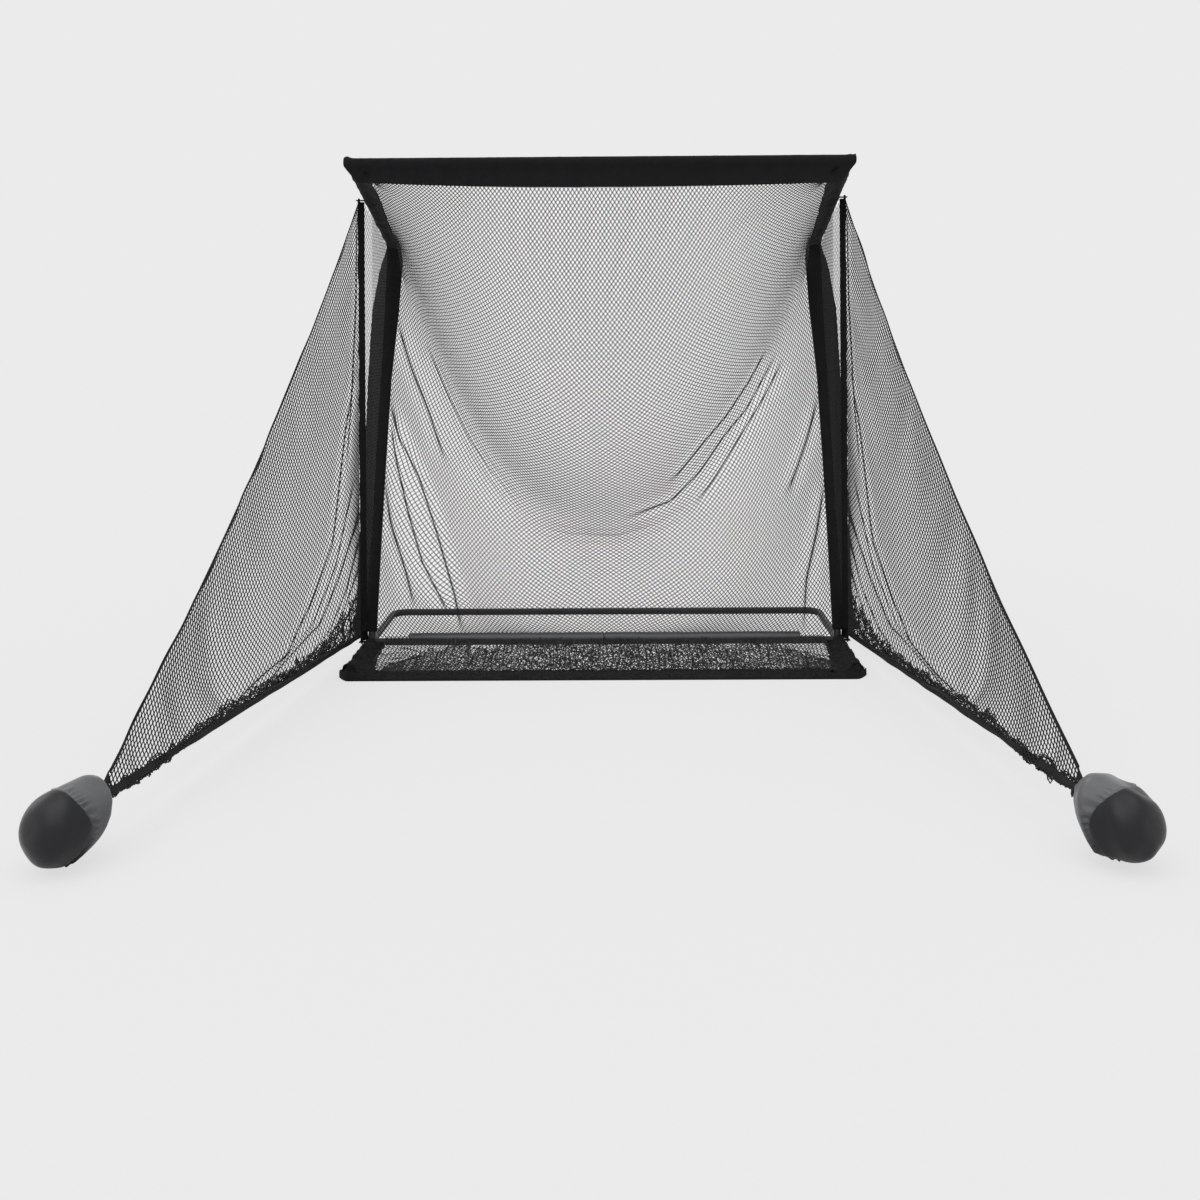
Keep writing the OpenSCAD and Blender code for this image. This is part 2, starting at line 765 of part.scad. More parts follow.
// The side net has a wide hem along its free front edge
module side_net(side) {
    color("#1b1b1d") in_part() on_side(side) translate([side_net_x, 0, 0]) rotate([90, 0, 90])
        linear_extrude(net_thickness) intersection() {
            polygon(side_net_outline);
            union() {
                translate([side_net_front, foot[1]])
                    diamond_bars(elbow[0] - side_net_front, tie_high);
                translate([side_net_front, 0]) square([hem_reach, tie_high]);
                for (k = [0 : 2]) edge_bar(side_net_outline[k], side_net_outline[k + 1]);
            }
        }
}

// ---------------------------------------------------------------- main net

// Points on the edges of the sleeves that the net is sewn to
function arm_edge(at) = [
    half_w - arm_edge_in,
    top[0] - at * arm_dir[0] - arm_edge_down * leg_dir[0],
    top[1] - at * arm_dir[1] - arm_edge_down * leg_dir[1]
];
function leg_edge(at, reach) = [
    half_w - reach, foot[0] + at * leg_dir[0], foot[1] + at * leg_dir[1]
];
function side_point(v) = [lookup(v, side_x), lookup(v, side_y), lookup(v, side_z)];

// Point of a curve that five points steer
function curve5(p, t) = pow(1 - t, 4) * p[0] + 4 * pow(1 - t, 3) * t * p[1]
    + 6 * pow(1 - t, 2) * t * t * p[2] + 4 * (1 - t) * pow(t, 3) * p[3] + pow(t, 4) * p[4];

// The net's surface: u runs from left to right and v from top to bottom, both from 0 to 1
function net_point(u, v) =
    let(across = 2 * u - 1, edge = pow(abs(across), edge_power))
    let(s = side_point(v), m = curve5(middle_curve, v))
    [s[0] * across, s[1] * edge + m[0] * (1 - edge), s[2] * edge + m[1] * (1 - edge)];

function inside(t) = min(max(t, 0), 1);
function net_normal(u, v) =
    let(du = net_point(inside(u + eps), v) - net_point(inside(u - eps), v))
    let(dv = net_point(u, inside(v + eps)) - net_point(u, inside(v - eps)))
    let(n = cross(du, dv))
    n / norm(n);

// Numbers of a mesh's points: its corners, those beside them on its edges, and its middle
function corner(i, j) = j * (net_columns + 1) + i;
function across(i, j, k) = across_start + (j * net_columns + i) * 2 + k;
function down(i, j, k) = down_start + (j * (net_columns + 1) + i) * 2 + k;
function middle(i, j, k) = middle_start + (j * net_columns + i) * 4 + k;

// A mesh's faces, and its open edges that need a wall
function mesh_faces(i, j) = [
    [corner(i, j), across(i, j, 0), down(i, j, 0)],
    [corner(i + 1, j), down(i + 1, j, 0), across(i, j, 1)],
    [corner(i + 1, j + 1), across(i, j + 1, 1), down(i + 1, j, 1)],
    [corner(i, j + 1), down(i, j, 1), across(i, j + 1, 0)],
    [across(i, j, 0), middle(i, j, 0), middle(i, j, 3), down(i, j, 0)],
    [down(i + 1, j, 0), middle(i, j, 1), middle(i, j, 0), across(i, j, 1)],
    [across(i, j + 1, 1), middle(i, j, 2), middle(i, j, 1), down(i + 1, j, 1)],
    [down(i, j, 1), middle(i, j, 3), middle(i, j, 2), across(i, j + 1, 0)],
    [middle(i, j, 0), middle(i, j, 1), middle(i, j, 2), middle(i, j, 3)]
];
function bar_edges(i, j) = [
    [across(i, j, 0), middle(i, j, 0)], [middle(i, j, 3), down(i, j, 0)],
    [down(i + 1, j, 0), middle(i, j, 1)], [middle(i, j, 0), across(i, j, 1)],
    [across(i, j + 1, 1), middle(i, j, 2)], [middle(i, j, 1), down(i + 1, j, 1)],
    [down(i, j, 1), middle(i, j, 3)], [middle(i, j, 2), across(i, j + 1, 0)]
];
function top_edges(i, j) = [
    [corner(i, j), across(i, j, 0)], [across(i, j, 1), corner(i + 1, j)]
];
function low_edges(i, j) = [
    [corner(i + 1, j + 1), across(i, j + 1, 1)], [across(i, j + 1, 0), corner(i, j + 1)]
];
function left_edges(i, j) = [
    [corner(i, j + 1), down(i, j, 1)], [down(i, j, 0), corner(i, j)]
];
function right_edges(i, j) = [
    [corner(i + 1, j), down(i + 1, j, 0)], [down(i + 1, j, 1), corner(i + 1, j + 1)]
];
function mesh_edges(i, j) = concat(
    bar_edges(i, j),
    j > 0 ? [] : top_edges(i, j),
    j < net_rows - 1 ? [] : low_edges(i, j),
    i > 0 ? [] : left_edges(i, j),
    i < net_columns - 1 ? [] : right_edges(i, j)
);

// Splits a face into triangles
function fan(f) = [for (k = [1 : len(f) - 2]) [f[0], f[k], f[k + 1]]];

module main_net() {
    shares = [for (p = mesh_points) [p[0] / net_columns, p[1] / net_rows]];
    surface = [for (p = shares) net_point(p[0], p[1])];
    normals = [for (p = shares) net_normal(p[0], p[1])];
    near = [for (k = [0 : side_count - 1]) surface[k] + net_thickness / 2 * normals[k]];
    far = [for (k = [0 : side_count - 1]) surface[k] - net_thickness / 2 * normals[k]];
    cells = [for (j = [0 : net_rows - 1], i = [0 : net_columns - 1]) [i, j]];
    plates = [for (c = cells) each [for (f = mesh_faces(c[0], c[1])) each fan(f)]];
    edges = [for (c = cells) each mesh_edges(c[0], c[1])];
    near_faces = [for (t = plates) [t[2], t[1], t[0]]];
    far_faces = [for (t = plates) [t[0] + side_count, t[1] + side_count, t[2] + side_count]];
    walls = [for (e = edges) each fan([e[0], e[1], e[1] + side_count, e[0] + side_count])];
    color("#1b1b1d") in_part()
        polyhedron(concat(near, far), concat(near_faces, far_faces, walls));
}

// ---------------------------------------------------------------- side barriers

// Sloping edge, bowed inward and set in by a distance
function slope_point(t, inset) = slope_top + t * slope_run
    - (4 * t * (1 - t) * barrier_bow + inset) * slope_normal;
function slope_line(inset) = [for (k = [0 : slope_steps]) slope_point(k / slope_steps, inset)];

// The barrier's outline, set in from its sloping edge, its lower edge and its two ends
module barrier_shape(slope_in, foot_in, end_in) {
    lift = [0, foot_in];
    intersection() {
        polygon(concat(slope_line(slope_in), [foot_bag + lift, foot_hinge + lift]));
        translate([hem_reach + end_in, 0]) square([net_end - hem_reach - 2 * end_in, hem_high]);
    }
}

module barrier_net(side) {
    color("#1b1b1d") in_part() on_side(side) on_barrier() in_plane(net_thickness) {
        intersection() {
            barrier_shape(slope_band, lower_band, 0);
            diamond_bars(barrier_reach, hem_high);
        }
        difference() {
            barrier_shape(slope_band, lower_band, 0);
            barrier_shape(slope_band + net_bar, lower_band + net_bar, net_bar);
        }
    }
}

module barrier_slope(side) {
    color("#141416") in_part() on_side(side) on_barrier() in_plane(band_thickness) difference() {
        barrier_shape(0, lower_band, 0);
        barrier_shape(slope_band, lower_band, -over);
    }
}

module barrier_foot(side) {
    lift = [0, lower_band];
    color("#141416") in_part() on_side(side) on_barrier() in_plane(band_thickness)
        polygon([foot_hinge, foot_bag, foot_bag + lift, foot_hinge + lift]);
}

// The hem turns round the hinge cord
module barrier_hem(side) {
    color("#141416") in_part() on_side(side) on_barrier() difference() {
        translate([0, 0, hem_low]) {
            cylinder(r = cord_bore_r + hem_wall, h = hem_high - hem_low);
            translate([0, -band_thickness / 2, 0]) cube([hem_reach, band_thickness, hem_high - hem_low]);
        }
        cylinder(r = cord_bore_r, h = hem_high + over);
    }
}

// The cord runs through both ties and is knotted past each of them
module hinge_cord(side) {
    low = tie_low - tie_thickness / 2;
    high = tie_high + tie_thickness / 2;
    color("#0f0f10") in_part() on_side(side) translate([hinge[0], hinge[1], 0]) {
        translate([0, 0, low - knot_length]) cylinder(r = knot_r, h = knot_length);
        translate([0, 0, low - eps]) cylinder(r = cord_d / 2, h = high - low + 2 * eps);
        translate([0, 0, high]) cylinder(r = knot_r, h = knot_length);
    }
}

// A tab with a hole for the cord, from the tube's side to just past the hinge line
module tie_tab() {
    difference() {
        translate([half_w + tube_r, hinge[1] - tie_width / 2, -tie_thickness / 2])
            cube([hinge_out - tube_r + tie_past, tie_width, tie_thickness]);
        translate([hinge[0], hinge[1], -tie_thickness])
            cylinder(r = cord_bore_r, h = 2 * tie_thickness);
    }
}

// The upper tie is a half ring round the arm's sleeve, with its tab
module arm_tie() {
    difference() {
        union() {
            translate([0, 0, tie_high]) tie_tab();
            on_arm() translate([0, 0, tie_arm_at - tie_width / 2]) difference() {
                cylinder(r = sleeve_out_r + tie_wall, h = tie_width);
                translate([-2 * tube_d, -tube_d, -over])
                    cube([2 * tube_d, 2 * tube_d, tie_width + 2 * over]);
            }
        }
        on_arm() translate([0, 0, tie_arm_at - tie_width])
            cylinder(r = sleeve_out_r + tie_gap, h = 2 * tie_width);
    }
}

// The lower tie is a saddle on the base tube, with its tab
module base_tie() {
    difference() {
        union() {
            translate([0, 0, tie_low]) tie_tab();
            intersection() {
                on_base() translate([0, 0, hinge[1] - tie_width / 2])
                    cylinder(r = tube_r + tie_wall, h = tie_width);
                translate([half_w + tube_r / 2, hinge[1] - tie_width, saddle_low])
                    cube([tube_d, 2 * tie_width, tie_low + tie_thickness / 2 - saddle_low]);
            }
        }
        on_base() cylinder(r = tube_r + tie_gap, h = base_depth);
    }
}

module cord_ties(side) {
    color("#141416") in_part() on_side(side) {
        arm_tie();
        base_tie();
    }
}

// ---------------------------------------------------------------- sandbags

// Half outline of the bag, from its round end to the neck, set in by a distance
function bag_line(inset) = [
    for (k = [0 : bag_steps])
        let(a = k * (180 - asin(neck_r / bag_b)) / bag_steps)
        [(bag_b - inset) * sin(a), (bag_a - inset) * cos(a)]
];
function bag_outline(inset) =
    let(line = bag_line(inset))
    concat(line, [[0, line[bag_steps][1]]]);

module between(low, high) {
    intersection() {
        children();
        translate([-space / 2, -space / 2, low]) cube([space, space, high - low]);
    }
}

// The skin is a round, tilted bag with its neck open, pressed flat where it meets the floor
module sandbag(side) {
    color("#2a2d30") in_part() on_side(side) on_barrier() between(0, space) on_bag() difference() {
        rotate_extrude() polygon(bag_outline(0));
        rotate_extrude() polygon(bag_outline(bag_skin));
        translate([0, 0, -bag_a - over]) cylinder(r = neck_bore_r, h = bag_a);
    }
}

module sand(side) {
    color("#c2a878") in_part() on_side(side) on_barrier() between(bag_skin, sand_level)
        on_bag() rotate_extrude() polygon(bag_outline(bag_skin + sewn_gap));
}

// The loop is a collar on the bag's neck with a flat tongue that is sewn to the net's corner
module bag_loop(side) {
    collar_z = -bag_neck - sewn_gap;
    tongue = [
        [net_end + sewn_gap, foot_bag[1]],
        [net_end + sewn_gap, slope_low[1]],
        [barrier_reach + neck_r / 4, neck_z + neck_r],
        [barrier_reach - neck_r / 4, neck_z - neck_r]
    ];
    color("#141416") in_part() on_side(side) on_barrier() difference() {
        union() {
            on_bag() translate([0, 0, collar_z - collar_length])
                cylinder(r = neck_r + collar_wall, h = collar_length);
            in_plane(band_thickness) polygon(tongue);
        }
        on_bag() translate([0, 0, collar_z - collar_length - over])
            cylinder(r = neck_bore_r, h = bag_a);
        on_bag() translate([0, 0, collar_z]) cylinder(r = 2 * neck_r, h = bag_a);
    }
}

// ---------------------------------------------------------------- nodes

base_side("left");  // base_side_left
base_side("right");  // base_side_right
rear_corner("left");  // rear_corner_left
rear_corner("right");  // rear_corner_right
rear_rail();
crossbar("left");  // crossbar_left
crossbar("right");  // crossbar_right
leg_lower("left");  // leg_lower_left
leg_lower("right");  // leg_lower_right
leg_upper("left");  // leg_upper_left
leg_upper("right");  // leg_upper_right
arm("left");  // arm_left
arm("right");  // arm_right
top_bar("left");  // top_bar_left
top_bar("right");  // top_bar_right
tube_end_caps();
button_clips();
placed_button("rail", "left");  // button_rail_left
placed_button("rail", "right");  // button_rail_right
placed_button("corner", "left");  // button_corner_left
placed_button("corner", "right");  // button_corner_right
placed_button("foot", "left");  // button_foot_left
placed_button("foot", "right");  // button_foot_right
placed_button("leg", "left");  // button_leg_left
placed_button("leg", "right");  // button_leg_right
placed_button("elbow", "left");  // button_elbow_left
placed_button("elbow", "right");  // button_elbow_right
placed_button("arm", "left");  // button_arm_left
placed_button("arm", "right");  // button_arm_right
placed_button("top", "right");  // button_top
foam_roll("left");  // foam_roll_left
foam_roll("right");  // foam_roll_right
main_net();
side_net("left");  // side_net_left
side_net("right");  // side_net_right
front_net();
front_hem();
top_sleeve();
arm_sleeve("left");  // arm_sleeve_left
arm_sleeve("right");  // arm_sleeve_right
leg_sleeve("left");  // leg_sleeve_left
leg_sleeve("right");  // leg_sleeve_right
base_sleeve("left");  // base_sleeve_left
base_sleeve("right");  // base_sleeve_right
hinge_cord("left");  // hinge_cord_left
hinge_cord("right");  // hinge_cord_right
cord_ties("left");  // cord_ties_left
cord_ties("right");  // cord_ties_right
barrier_net("left");  // barrier_net_left
barrier_net("right");  // barrier_net_right
barrier_hem("left");  // barrier_hem_left
barrier_hem("right");  // barrier_hem_right
barrier_slope("left");  // barrier_slope_left
barrier_slope("right");  // barrier_slope_right
barrier_foot("left");  // barrier_foot_left
barrier_foot("right");  // barrier_foot_right
sandbag("left");  // sandbag_left
sandbag("right");  // sandbag_right
sand("left");  // sand_left
sand("right");  // sand_right
bag_loop("left");  // bag_loop_left
bag_loop("right");  // bag_loop_right
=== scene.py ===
# %% [markdown]
# # A golf practice net, dressed in Blender
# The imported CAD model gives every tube, button and clip at its true size. This lesson puts
# the looks round it: netting that hangs under its own weight, sewn sleeves, webbing, a foam
# roll and two sandbags. Every length is in metres, +Y is away from the golfer, and the floor
# is z = 0.

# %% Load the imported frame
import bmesh
import bpy
import numpy as np
from mathutils import Matrix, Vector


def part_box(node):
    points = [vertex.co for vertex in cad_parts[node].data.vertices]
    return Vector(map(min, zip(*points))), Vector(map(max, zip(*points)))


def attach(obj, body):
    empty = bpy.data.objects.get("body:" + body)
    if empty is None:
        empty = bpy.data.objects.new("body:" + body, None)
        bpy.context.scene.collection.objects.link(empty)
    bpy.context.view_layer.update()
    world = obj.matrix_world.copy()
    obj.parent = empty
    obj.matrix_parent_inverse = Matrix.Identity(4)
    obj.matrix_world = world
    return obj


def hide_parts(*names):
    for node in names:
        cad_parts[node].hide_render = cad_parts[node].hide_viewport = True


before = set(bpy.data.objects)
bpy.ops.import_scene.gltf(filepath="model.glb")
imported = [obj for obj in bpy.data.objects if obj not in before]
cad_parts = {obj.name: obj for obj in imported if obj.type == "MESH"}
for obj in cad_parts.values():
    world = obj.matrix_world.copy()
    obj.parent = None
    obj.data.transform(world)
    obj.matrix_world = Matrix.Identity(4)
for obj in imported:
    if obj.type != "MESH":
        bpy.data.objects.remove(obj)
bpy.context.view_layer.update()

# %% [markdown]
# ## The camera
# A view camera keeps upright posts upright by pointing level and shifting its lens, and this
# camera does the same: it looks almost level along +Y, and the shift lowers the picture.

# %% Camera
lens = bpy.data.cameras.new("camera")
lens.sensor_width, lens.lens = 36.0, 37.44
lens.shift_x, lens.shift_y = -0.0118, -0.2334
lens.clip_start, lens.clip_end = 0.05, 200.0
camera = bpy.data.objects.new("camera", lens)
bpy.context.scene.collection.objects.link(camera)
stand = Matrix.Translation((0.098, -4.725, 1.462))
for degrees, axis in ((0.45, "Z"), (90.0, "X"), (-0.38, "Z")):
    stand = stand @ Matrix.Rotation(np.radians(degrees), 4, axis)
camera.matrix_world = stand
bpy.context.scene.camera = camera
bpy.context.scene.view_settings.view_transform = "Standard"
print("camera at", tuple(camera.location))

# %% [markdown]
# ## Surfaces from arrays
# A shape here is a grid of points worked out with numpy in one go. One helper turns such
# arrays into a mesh, and a second one joins rings of points into a skin. Both write a UV map
# in metres, so that a weave keeps its real size on every piece.

# %% Mesh helpers
SIDES = (("right", False), ("left", True))  # each side, and whether it is mirrored


def new_mesh(name, points, faces, uv=None, smooth=True):
    """A mesh object from points (n, 3) and faces (m, 3 or 4); uv has a row per face corner."""
    points, faces = np.asarray(points, np.float32), np.asarray(faces, np.int32)
    starts = np.arange(len(faces), dtype=np.int32) * faces.shape[1]
    mesh = bpy.data.meshes.new(name)
    mesh.vertices.add(len(points))
    mesh.vertices.foreach_set("co", points.ravel())
    mesh.loops.add(faces.size)
    mesh.loops.foreach_set("vertex_index", faces.ravel())
    mesh.polygons.add(len(faces))
    mesh.polygons.foreach_set("loop_start", starts)
    mesh.polygons.foreach_set("use_smooth", np.full(len(faces), smooth))
    if uv is not None:
        layer = mesh.uv_layers.new(name="UVMap")
        layer.data.foreach_set("uv", np.asarray(uv, np.float32).ravel())
    mesh.update(calc_edges=True)
    mesh.validate()
    thing = bpy.data.objects.new(name, mesh)
    bpy.context.scene.collection.objects.link(thing)
    return thing


def reached(path):
    """The length of a path of points up to each of them."""
    steps = np.linalg.norm(np.diff(path, axis=0), axis=-1)
    return np.concatenate([[0], np.cumsum(steps if steps.ndim == 1 else steps.mean(1))])


def skin(rings, caps=False):
    """Points, quads and UVs of a skin over closed rings (n, k, 3). u runs along, v round."""
    n, k = rings.shape[:2]
    loops = np.concatenate([rings, rings[:, :1]], 1)
    u = reached(loops)[:, None] * np.ones(k + 1)
    v = reached(loops.swapaxes(0, 1))[None, :] * np.ones((n, 1))
    row, col = np.meshgrid(np.arange(n - 1), np.arange(k), indexing="ij")
    corners = [(row, col), (row + 1, col), (row + 1, col + 1), (row, col + 1)]
    faces = np.stack([r * k + c % k for r, c in corners], -1).reshape(-1, 4)
    uv = np.stack([np.stack([u[r, c], v[r, c]], -1) for r, c in corners], -2).reshape(-1, 2)
    points = rings.reshape(-1, 3)
    if caps:
        fans = []
        for ring, flip in ((0, True), (n - 1, False)):
            middle = len(points)
            points = np.concatenate([points, points[ring * k:(ring + 1) * k].mean(0)[None]])
            a = ring * k + np.arange(k)
            b = ring * k + (np.arange(k) + 1) % k
            fan = np.stack([b, a, a * 0 + middle] if flip else [a, b, b * 0 + middle], -1)
            fans.append(np.concatenate([fan, fan[:, 2:]], 1))
        faces = np.concatenate([faces, *fans])
        uv = np.concatenate([uv, np.zeros((8 * k, 2))])
    return points, faces, uv


def mirrored(points, mirror):
    """Points of the right side, moved to the left side if mirror is set."""
    return points * [-1, 1, 1] if mirror else points


def skin_piece(name, rings, caps=False, mirror=False):
    """A piece from rings, turned over when it is mirrored, so that its faces point out."""
    points, faces, uv = skin(rings, caps)
    if mirror:
        faces, uv = faces[:, ::-1], uv.reshape(-1, 4, 2)[:, ::-1].reshape(-1, 2)
    thing = new_mesh(name, mirrored(points, mirror), faces, uv)
    if caps:
        tidy_points(thing)
    return thing


def tidy_points(thing):
    """Merges doubled points and drops the flat corners that the cap fans leave."""
    work = bmesh.new()
    work.from_mesh(thing.data)
    bmesh.ops.remove_doubles(work, verts=work.verts, dist=1e-6)
    bmesh.ops.dissolve_degenerate(work, edges=work.edges, dist=1e-7)
    work.to_mesh(thing.data)
    work.free()


def thicken(thing, thickness):
    """Gives a skin of cloth its thickness, inwards."""
    wall = thing.modifiers.new("cloth_thickness", "SOLIDIFY")
    wall.thickness, wall.offset = thickness, -1.0


def dress(thing, material, slot, body, node_name):
    """Paints a piece, lets it ride on a body, and hides the CAD node that it stands for."""
    thing.data.materials.append(material)
    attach(thing, body)
    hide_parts(node_name)
    return thing


def unit(a):
    """Vectors of length one."""
    return a / np.maximum(np.linalg.norm(a, axis=-1, keepdims=True), 1e-9)


def ring_angles(count):
    """Angles of the points round a ring."""
    return np.linspace(0, 2 * np.pi, count + 1)[:-1]


def waves(seed, count, low, high):
    """A smooth rough field f(a, b): a sum of sines whose waves are low to high metres long."""
    rng = np.random.default_rng(seed)
    turn, phase = rng.uniform(0, 2 * np.pi, count), rng.uniform(0, 2 * np.pi, count)
    size = 2 * np.pi / np.exp(rng.uniform(np.log(low), np.log(high), count))
    weight = rng.uniform(0.5, 1.0, count) / np.sqrt(count)

    def field(a, b):
        a, b = np.asarray(a, float)[..., None], np.asarray(b, float)[..., None]
        angle = size * (a * np.cos(turn) + b * np.sin(turn)) + phase
        return (weight * np.sin(angle)).sum(-1)
    return field


print("helpers ready")

# %% [markdown]
# ## Shader groups for what repeats
# Cloth weave, uneven dye, twisted twine and rubbed paint show up on many pieces, so each is a
# node group with named inputs. A group puts out colours and heights only, and the shader
# itself stays in each material.

# %% Node groups
def feed(tree, socket, source):
    """Sets a socket to a constant, or links it to another socket."""
    if isinstance(source, (int, float, tuple)):
        socket.default_value = source
    else:
        tree.links.new(source, socket)


def node(tree, kind, links=(), **values):
    """A node with its own values, and its sockets fed by name or number."""
    made = tree.nodes.new("ShaderNode" + kind)
    for key, value in values.items():
        setattr(made, key, value)
    for key, source in links:
        feed(tree, made.inputs[key], source)
    return made


def maths(tree, operation, *sources):
    """The result of a Math node."""
    return node(tree, "Math", enumerate(sources), operation=operation).outputs[0]


def spread(tree, *sources):
    """A value mapped from one range to another: value, from low, from high, to low, to high."""
    return node(tree, "MapRange", enumerate(sources)).outputs[0]


def noise(tree, where, scale, detail, roughness=0.5, distortion=0.0):
    """A fractal noise from 0 to 1."""
    return node(tree, "TexNoise", [("Vector", where), ("Scale", scale), ("Detail", detail),
                                   ("Roughness", roughness), ("Distortion", distortion)]).outputs[0]


def mix_colour(tree, factor, a, b):
    """A colour between a and b."""
    return node(tree, "Mix", [(0, factor), (6, a), (7, b)], data_type="RGBA").outputs[2]


def new_group(name, inputs, outputs):
    """An empty group; inputs are (name, kind, value), outputs are (name, kind). Returns it
    with its given sockets and those that it puts out."""
    group = bpy.data.node_groups.new(name, "ShaderNodeTree")
    for label, kind, value in inputs:
        made = group.interface.new_socket(label, in_out="INPUT", socket_type="NodeSocket" + kind)
        if value is not None:
            made.default_value = value
    for label, kind in outputs:
        group.interface.new_socket(label, in_out="OUTPUT", socket_type="NodeSocket" + kind)
    return (group, group.nodes.new("NodeGroupInput").outputs,
            group.nodes.new("NodeGroupOutput").inputs)


WHERE = ("Vector", "Vector", None)
TONES = [("Dark", "Color", (0, 0, 0, 1)), ("Light", "Color", (1, 1, 1, 1))]
THREAD_SHARE = 0.45

weave, given, out = new_group("plain_weave", [WHERE, ("Threads", "Float", 800.0), *TONES],
                              [("Color", "Color"), ("Height", "Float")])
split = node(weave, "SeparateXYZ", [(0, given["Vector"])])
threads = [maths(weave, "SINE", maths(weave, "MULTIPLY", split.outputs[k], given["Threads"]))
           for k in range(2)]
height = spread(weave, maths(weave, "MULTIPLY", *threads), -1.0, 1.0)
blotch = noise(weave, given["Vector"], 14.0, 4.0, 0.6)
shade = maths(weave, "MULTIPLY_ADD", blotch, 1 - THREAD_SHARE,
              maths(weave, "MULTIPLY", height, THREAD_SHARE))
feed(weave, out["Color"], mix_colour(weave, shade, given["Dark"], given["Light"]))
feed(weave, out["Height"], height)

mottle, given, out = new_group(
    "mottle",
    [WHERE, ("Scale", "Float", 10.0), *TONES, ("Low", "Float", 0.3), ("High", "Float", 0.6)],
    [("Color", "Color"), ("Rough", "Float"), ("Height", "Float")])
coarse = noise(mottle, given["Vector"], given["Scale"], 5.0, 0.62)
height = spread(mottle, coarse, 0.3, 0.7)
feed(mottle, out["Color"], mix_colour(mottle, height, given["Dark"], given["Light"]))
feed(mottle, out["Rough"], spread(mottle, coarse, 0.3, 0.7, given["Low"], given["High"]))
feed(mottle, out["Height"], height)

rubbed, given, out = new_group(
    "rubbed_marks", [WHERE, ("Scale", "Float", 30.0), ("Amount", "Float", 0.5)],
    [("Mask", "Float")])
streak = noise(rubbed, given["Vector"], given["Scale"], 8.0, 0.75, 0.8)
feed(rubbed, out["Mask"],
     spread(rubbed, streak, maths(rubbed, "SUBTRACT", 0.78, given["Amount"]), 0.82))
print("node groups:", [g.name for g in bpy.data.node_groups])

# %% [markdown]
# ## The finishes
# Black things differ by how they scatter light. Powder coat is satin with a faint orange
# peel, polyester sleeves are matt with a weave, coated bag cloth shines at a glance, and foam
# is a soft charcoal. Each finish starts from one helper and adds its own nodes.

# %% Finishes
def new_finish(name, roughness=0.6, **sockets):
    """A material with a Principled shader; returns the material, its tree and the shader."""
    made = bpy.data.materials.new(name)
    made.use_nodes = True
    tree = made.node_tree
    shader = tree.nodes["Principled BSDF"]
    shader.inputs["Roughness"].default_value = roughness
    for key, value in sockets.items():
        shader.inputs[key.replace("_", " ")].default_value = value
    return made, tree, shader


def place(tree, group, vector, **values):
    """The outputs of a node group in a material; a colour is (red, green, blue)."""
    made = node(tree, "Group", node_tree=group)
    tree.links.new(vector, made.inputs["Vector"])
    for key, value in values.items():
        made.inputs[key].default_value = (*value, 1) if isinstance(value, tuple) else value
    return made.outputs


def coordinates(tree, kind="Object"):
    """The Object or UV coordinates of the piece."""
    return node(tree, "TexCoord").outputs[kind]


def emboss(tree, shader, height, depth, strength):
    """Feeds a height to the shader's normal; depth is its real depth in metres."""
    bump = node(tree, "Bump", [("Height", height), ("Distance", depth), ("Strength", strength)])
    tree.links.new(bump.outputs[0], shader.inputs["Normal"])


def uneven(tree, shader, where, scale, dark, light, low, high):
    """Gives a shader an uneven colour from dark to light, and roughness from low to high."""
    tone = place(tree, mottle, where, Scale=scale, Dark=dark, Light=light, Low=low, High=high)
    tree.links.new(tone["Color"], shader.inputs["Base Color"])
    tree.links.new(tone["Rough"], shader.inputs["Roughness"])
    return tone


def painted_metal(name, dark, light, worn, low, high):
    """Powder coat: orange peel, uneven gloss, and fine rubs scattered by a noise."""
    made, tree, shader = new_finish(name, Specular_IOR_Level=0.36)
    where = coordinates(tree)
    tone = uneven(tree, shader, where, 9.0, dark, light, low, high)
    marks = place(tree, rubbed, where, Scale=38.0, Amount=0.02)
    tree.links.new(mix_colour(tree, marks["Mask"], tone["Color"], (*worn, 1)),
                   shader.inputs["Base Color"])
    emboss(tree, shader, noise(tree, where, 900.0, 2.0), 0.00012, 0.35)
    return made


def woven_cloth(name, dark, light, threads, depth, roughness=0.9):
    """Woven cloth on the piece's own UV map, which is in metres."""
    made, tree, shader = new_finish(name, roughness, Sheen_Weight=0.03, Sheen_Roughness=0.5,
                                    Specular_IOR_Level=0.16)
    cloth = place(tree, weave, coordinates(tree, "UV"), Threads=threads, Dark=dark, Light=light)
    tree.links.new(cloth["Color"], shader.inputs["Base Color"])
    emboss(tree, shader, cloth["Height"], depth, 0.7)
    return made


def steel(name, colour, low, high):
    """Plated steel with fine brushing along the strip."""
    made, tree, shader = new_finish(name, Metallic=1.0)
    tone = uneven(tree, shader, coordinates(tree), 160.0, tuple(0.8 * c for c in colour),
                  colour, low, high)
    emboss(tree, shader, tone["Height"], 0.00005, 0.3)
    return made


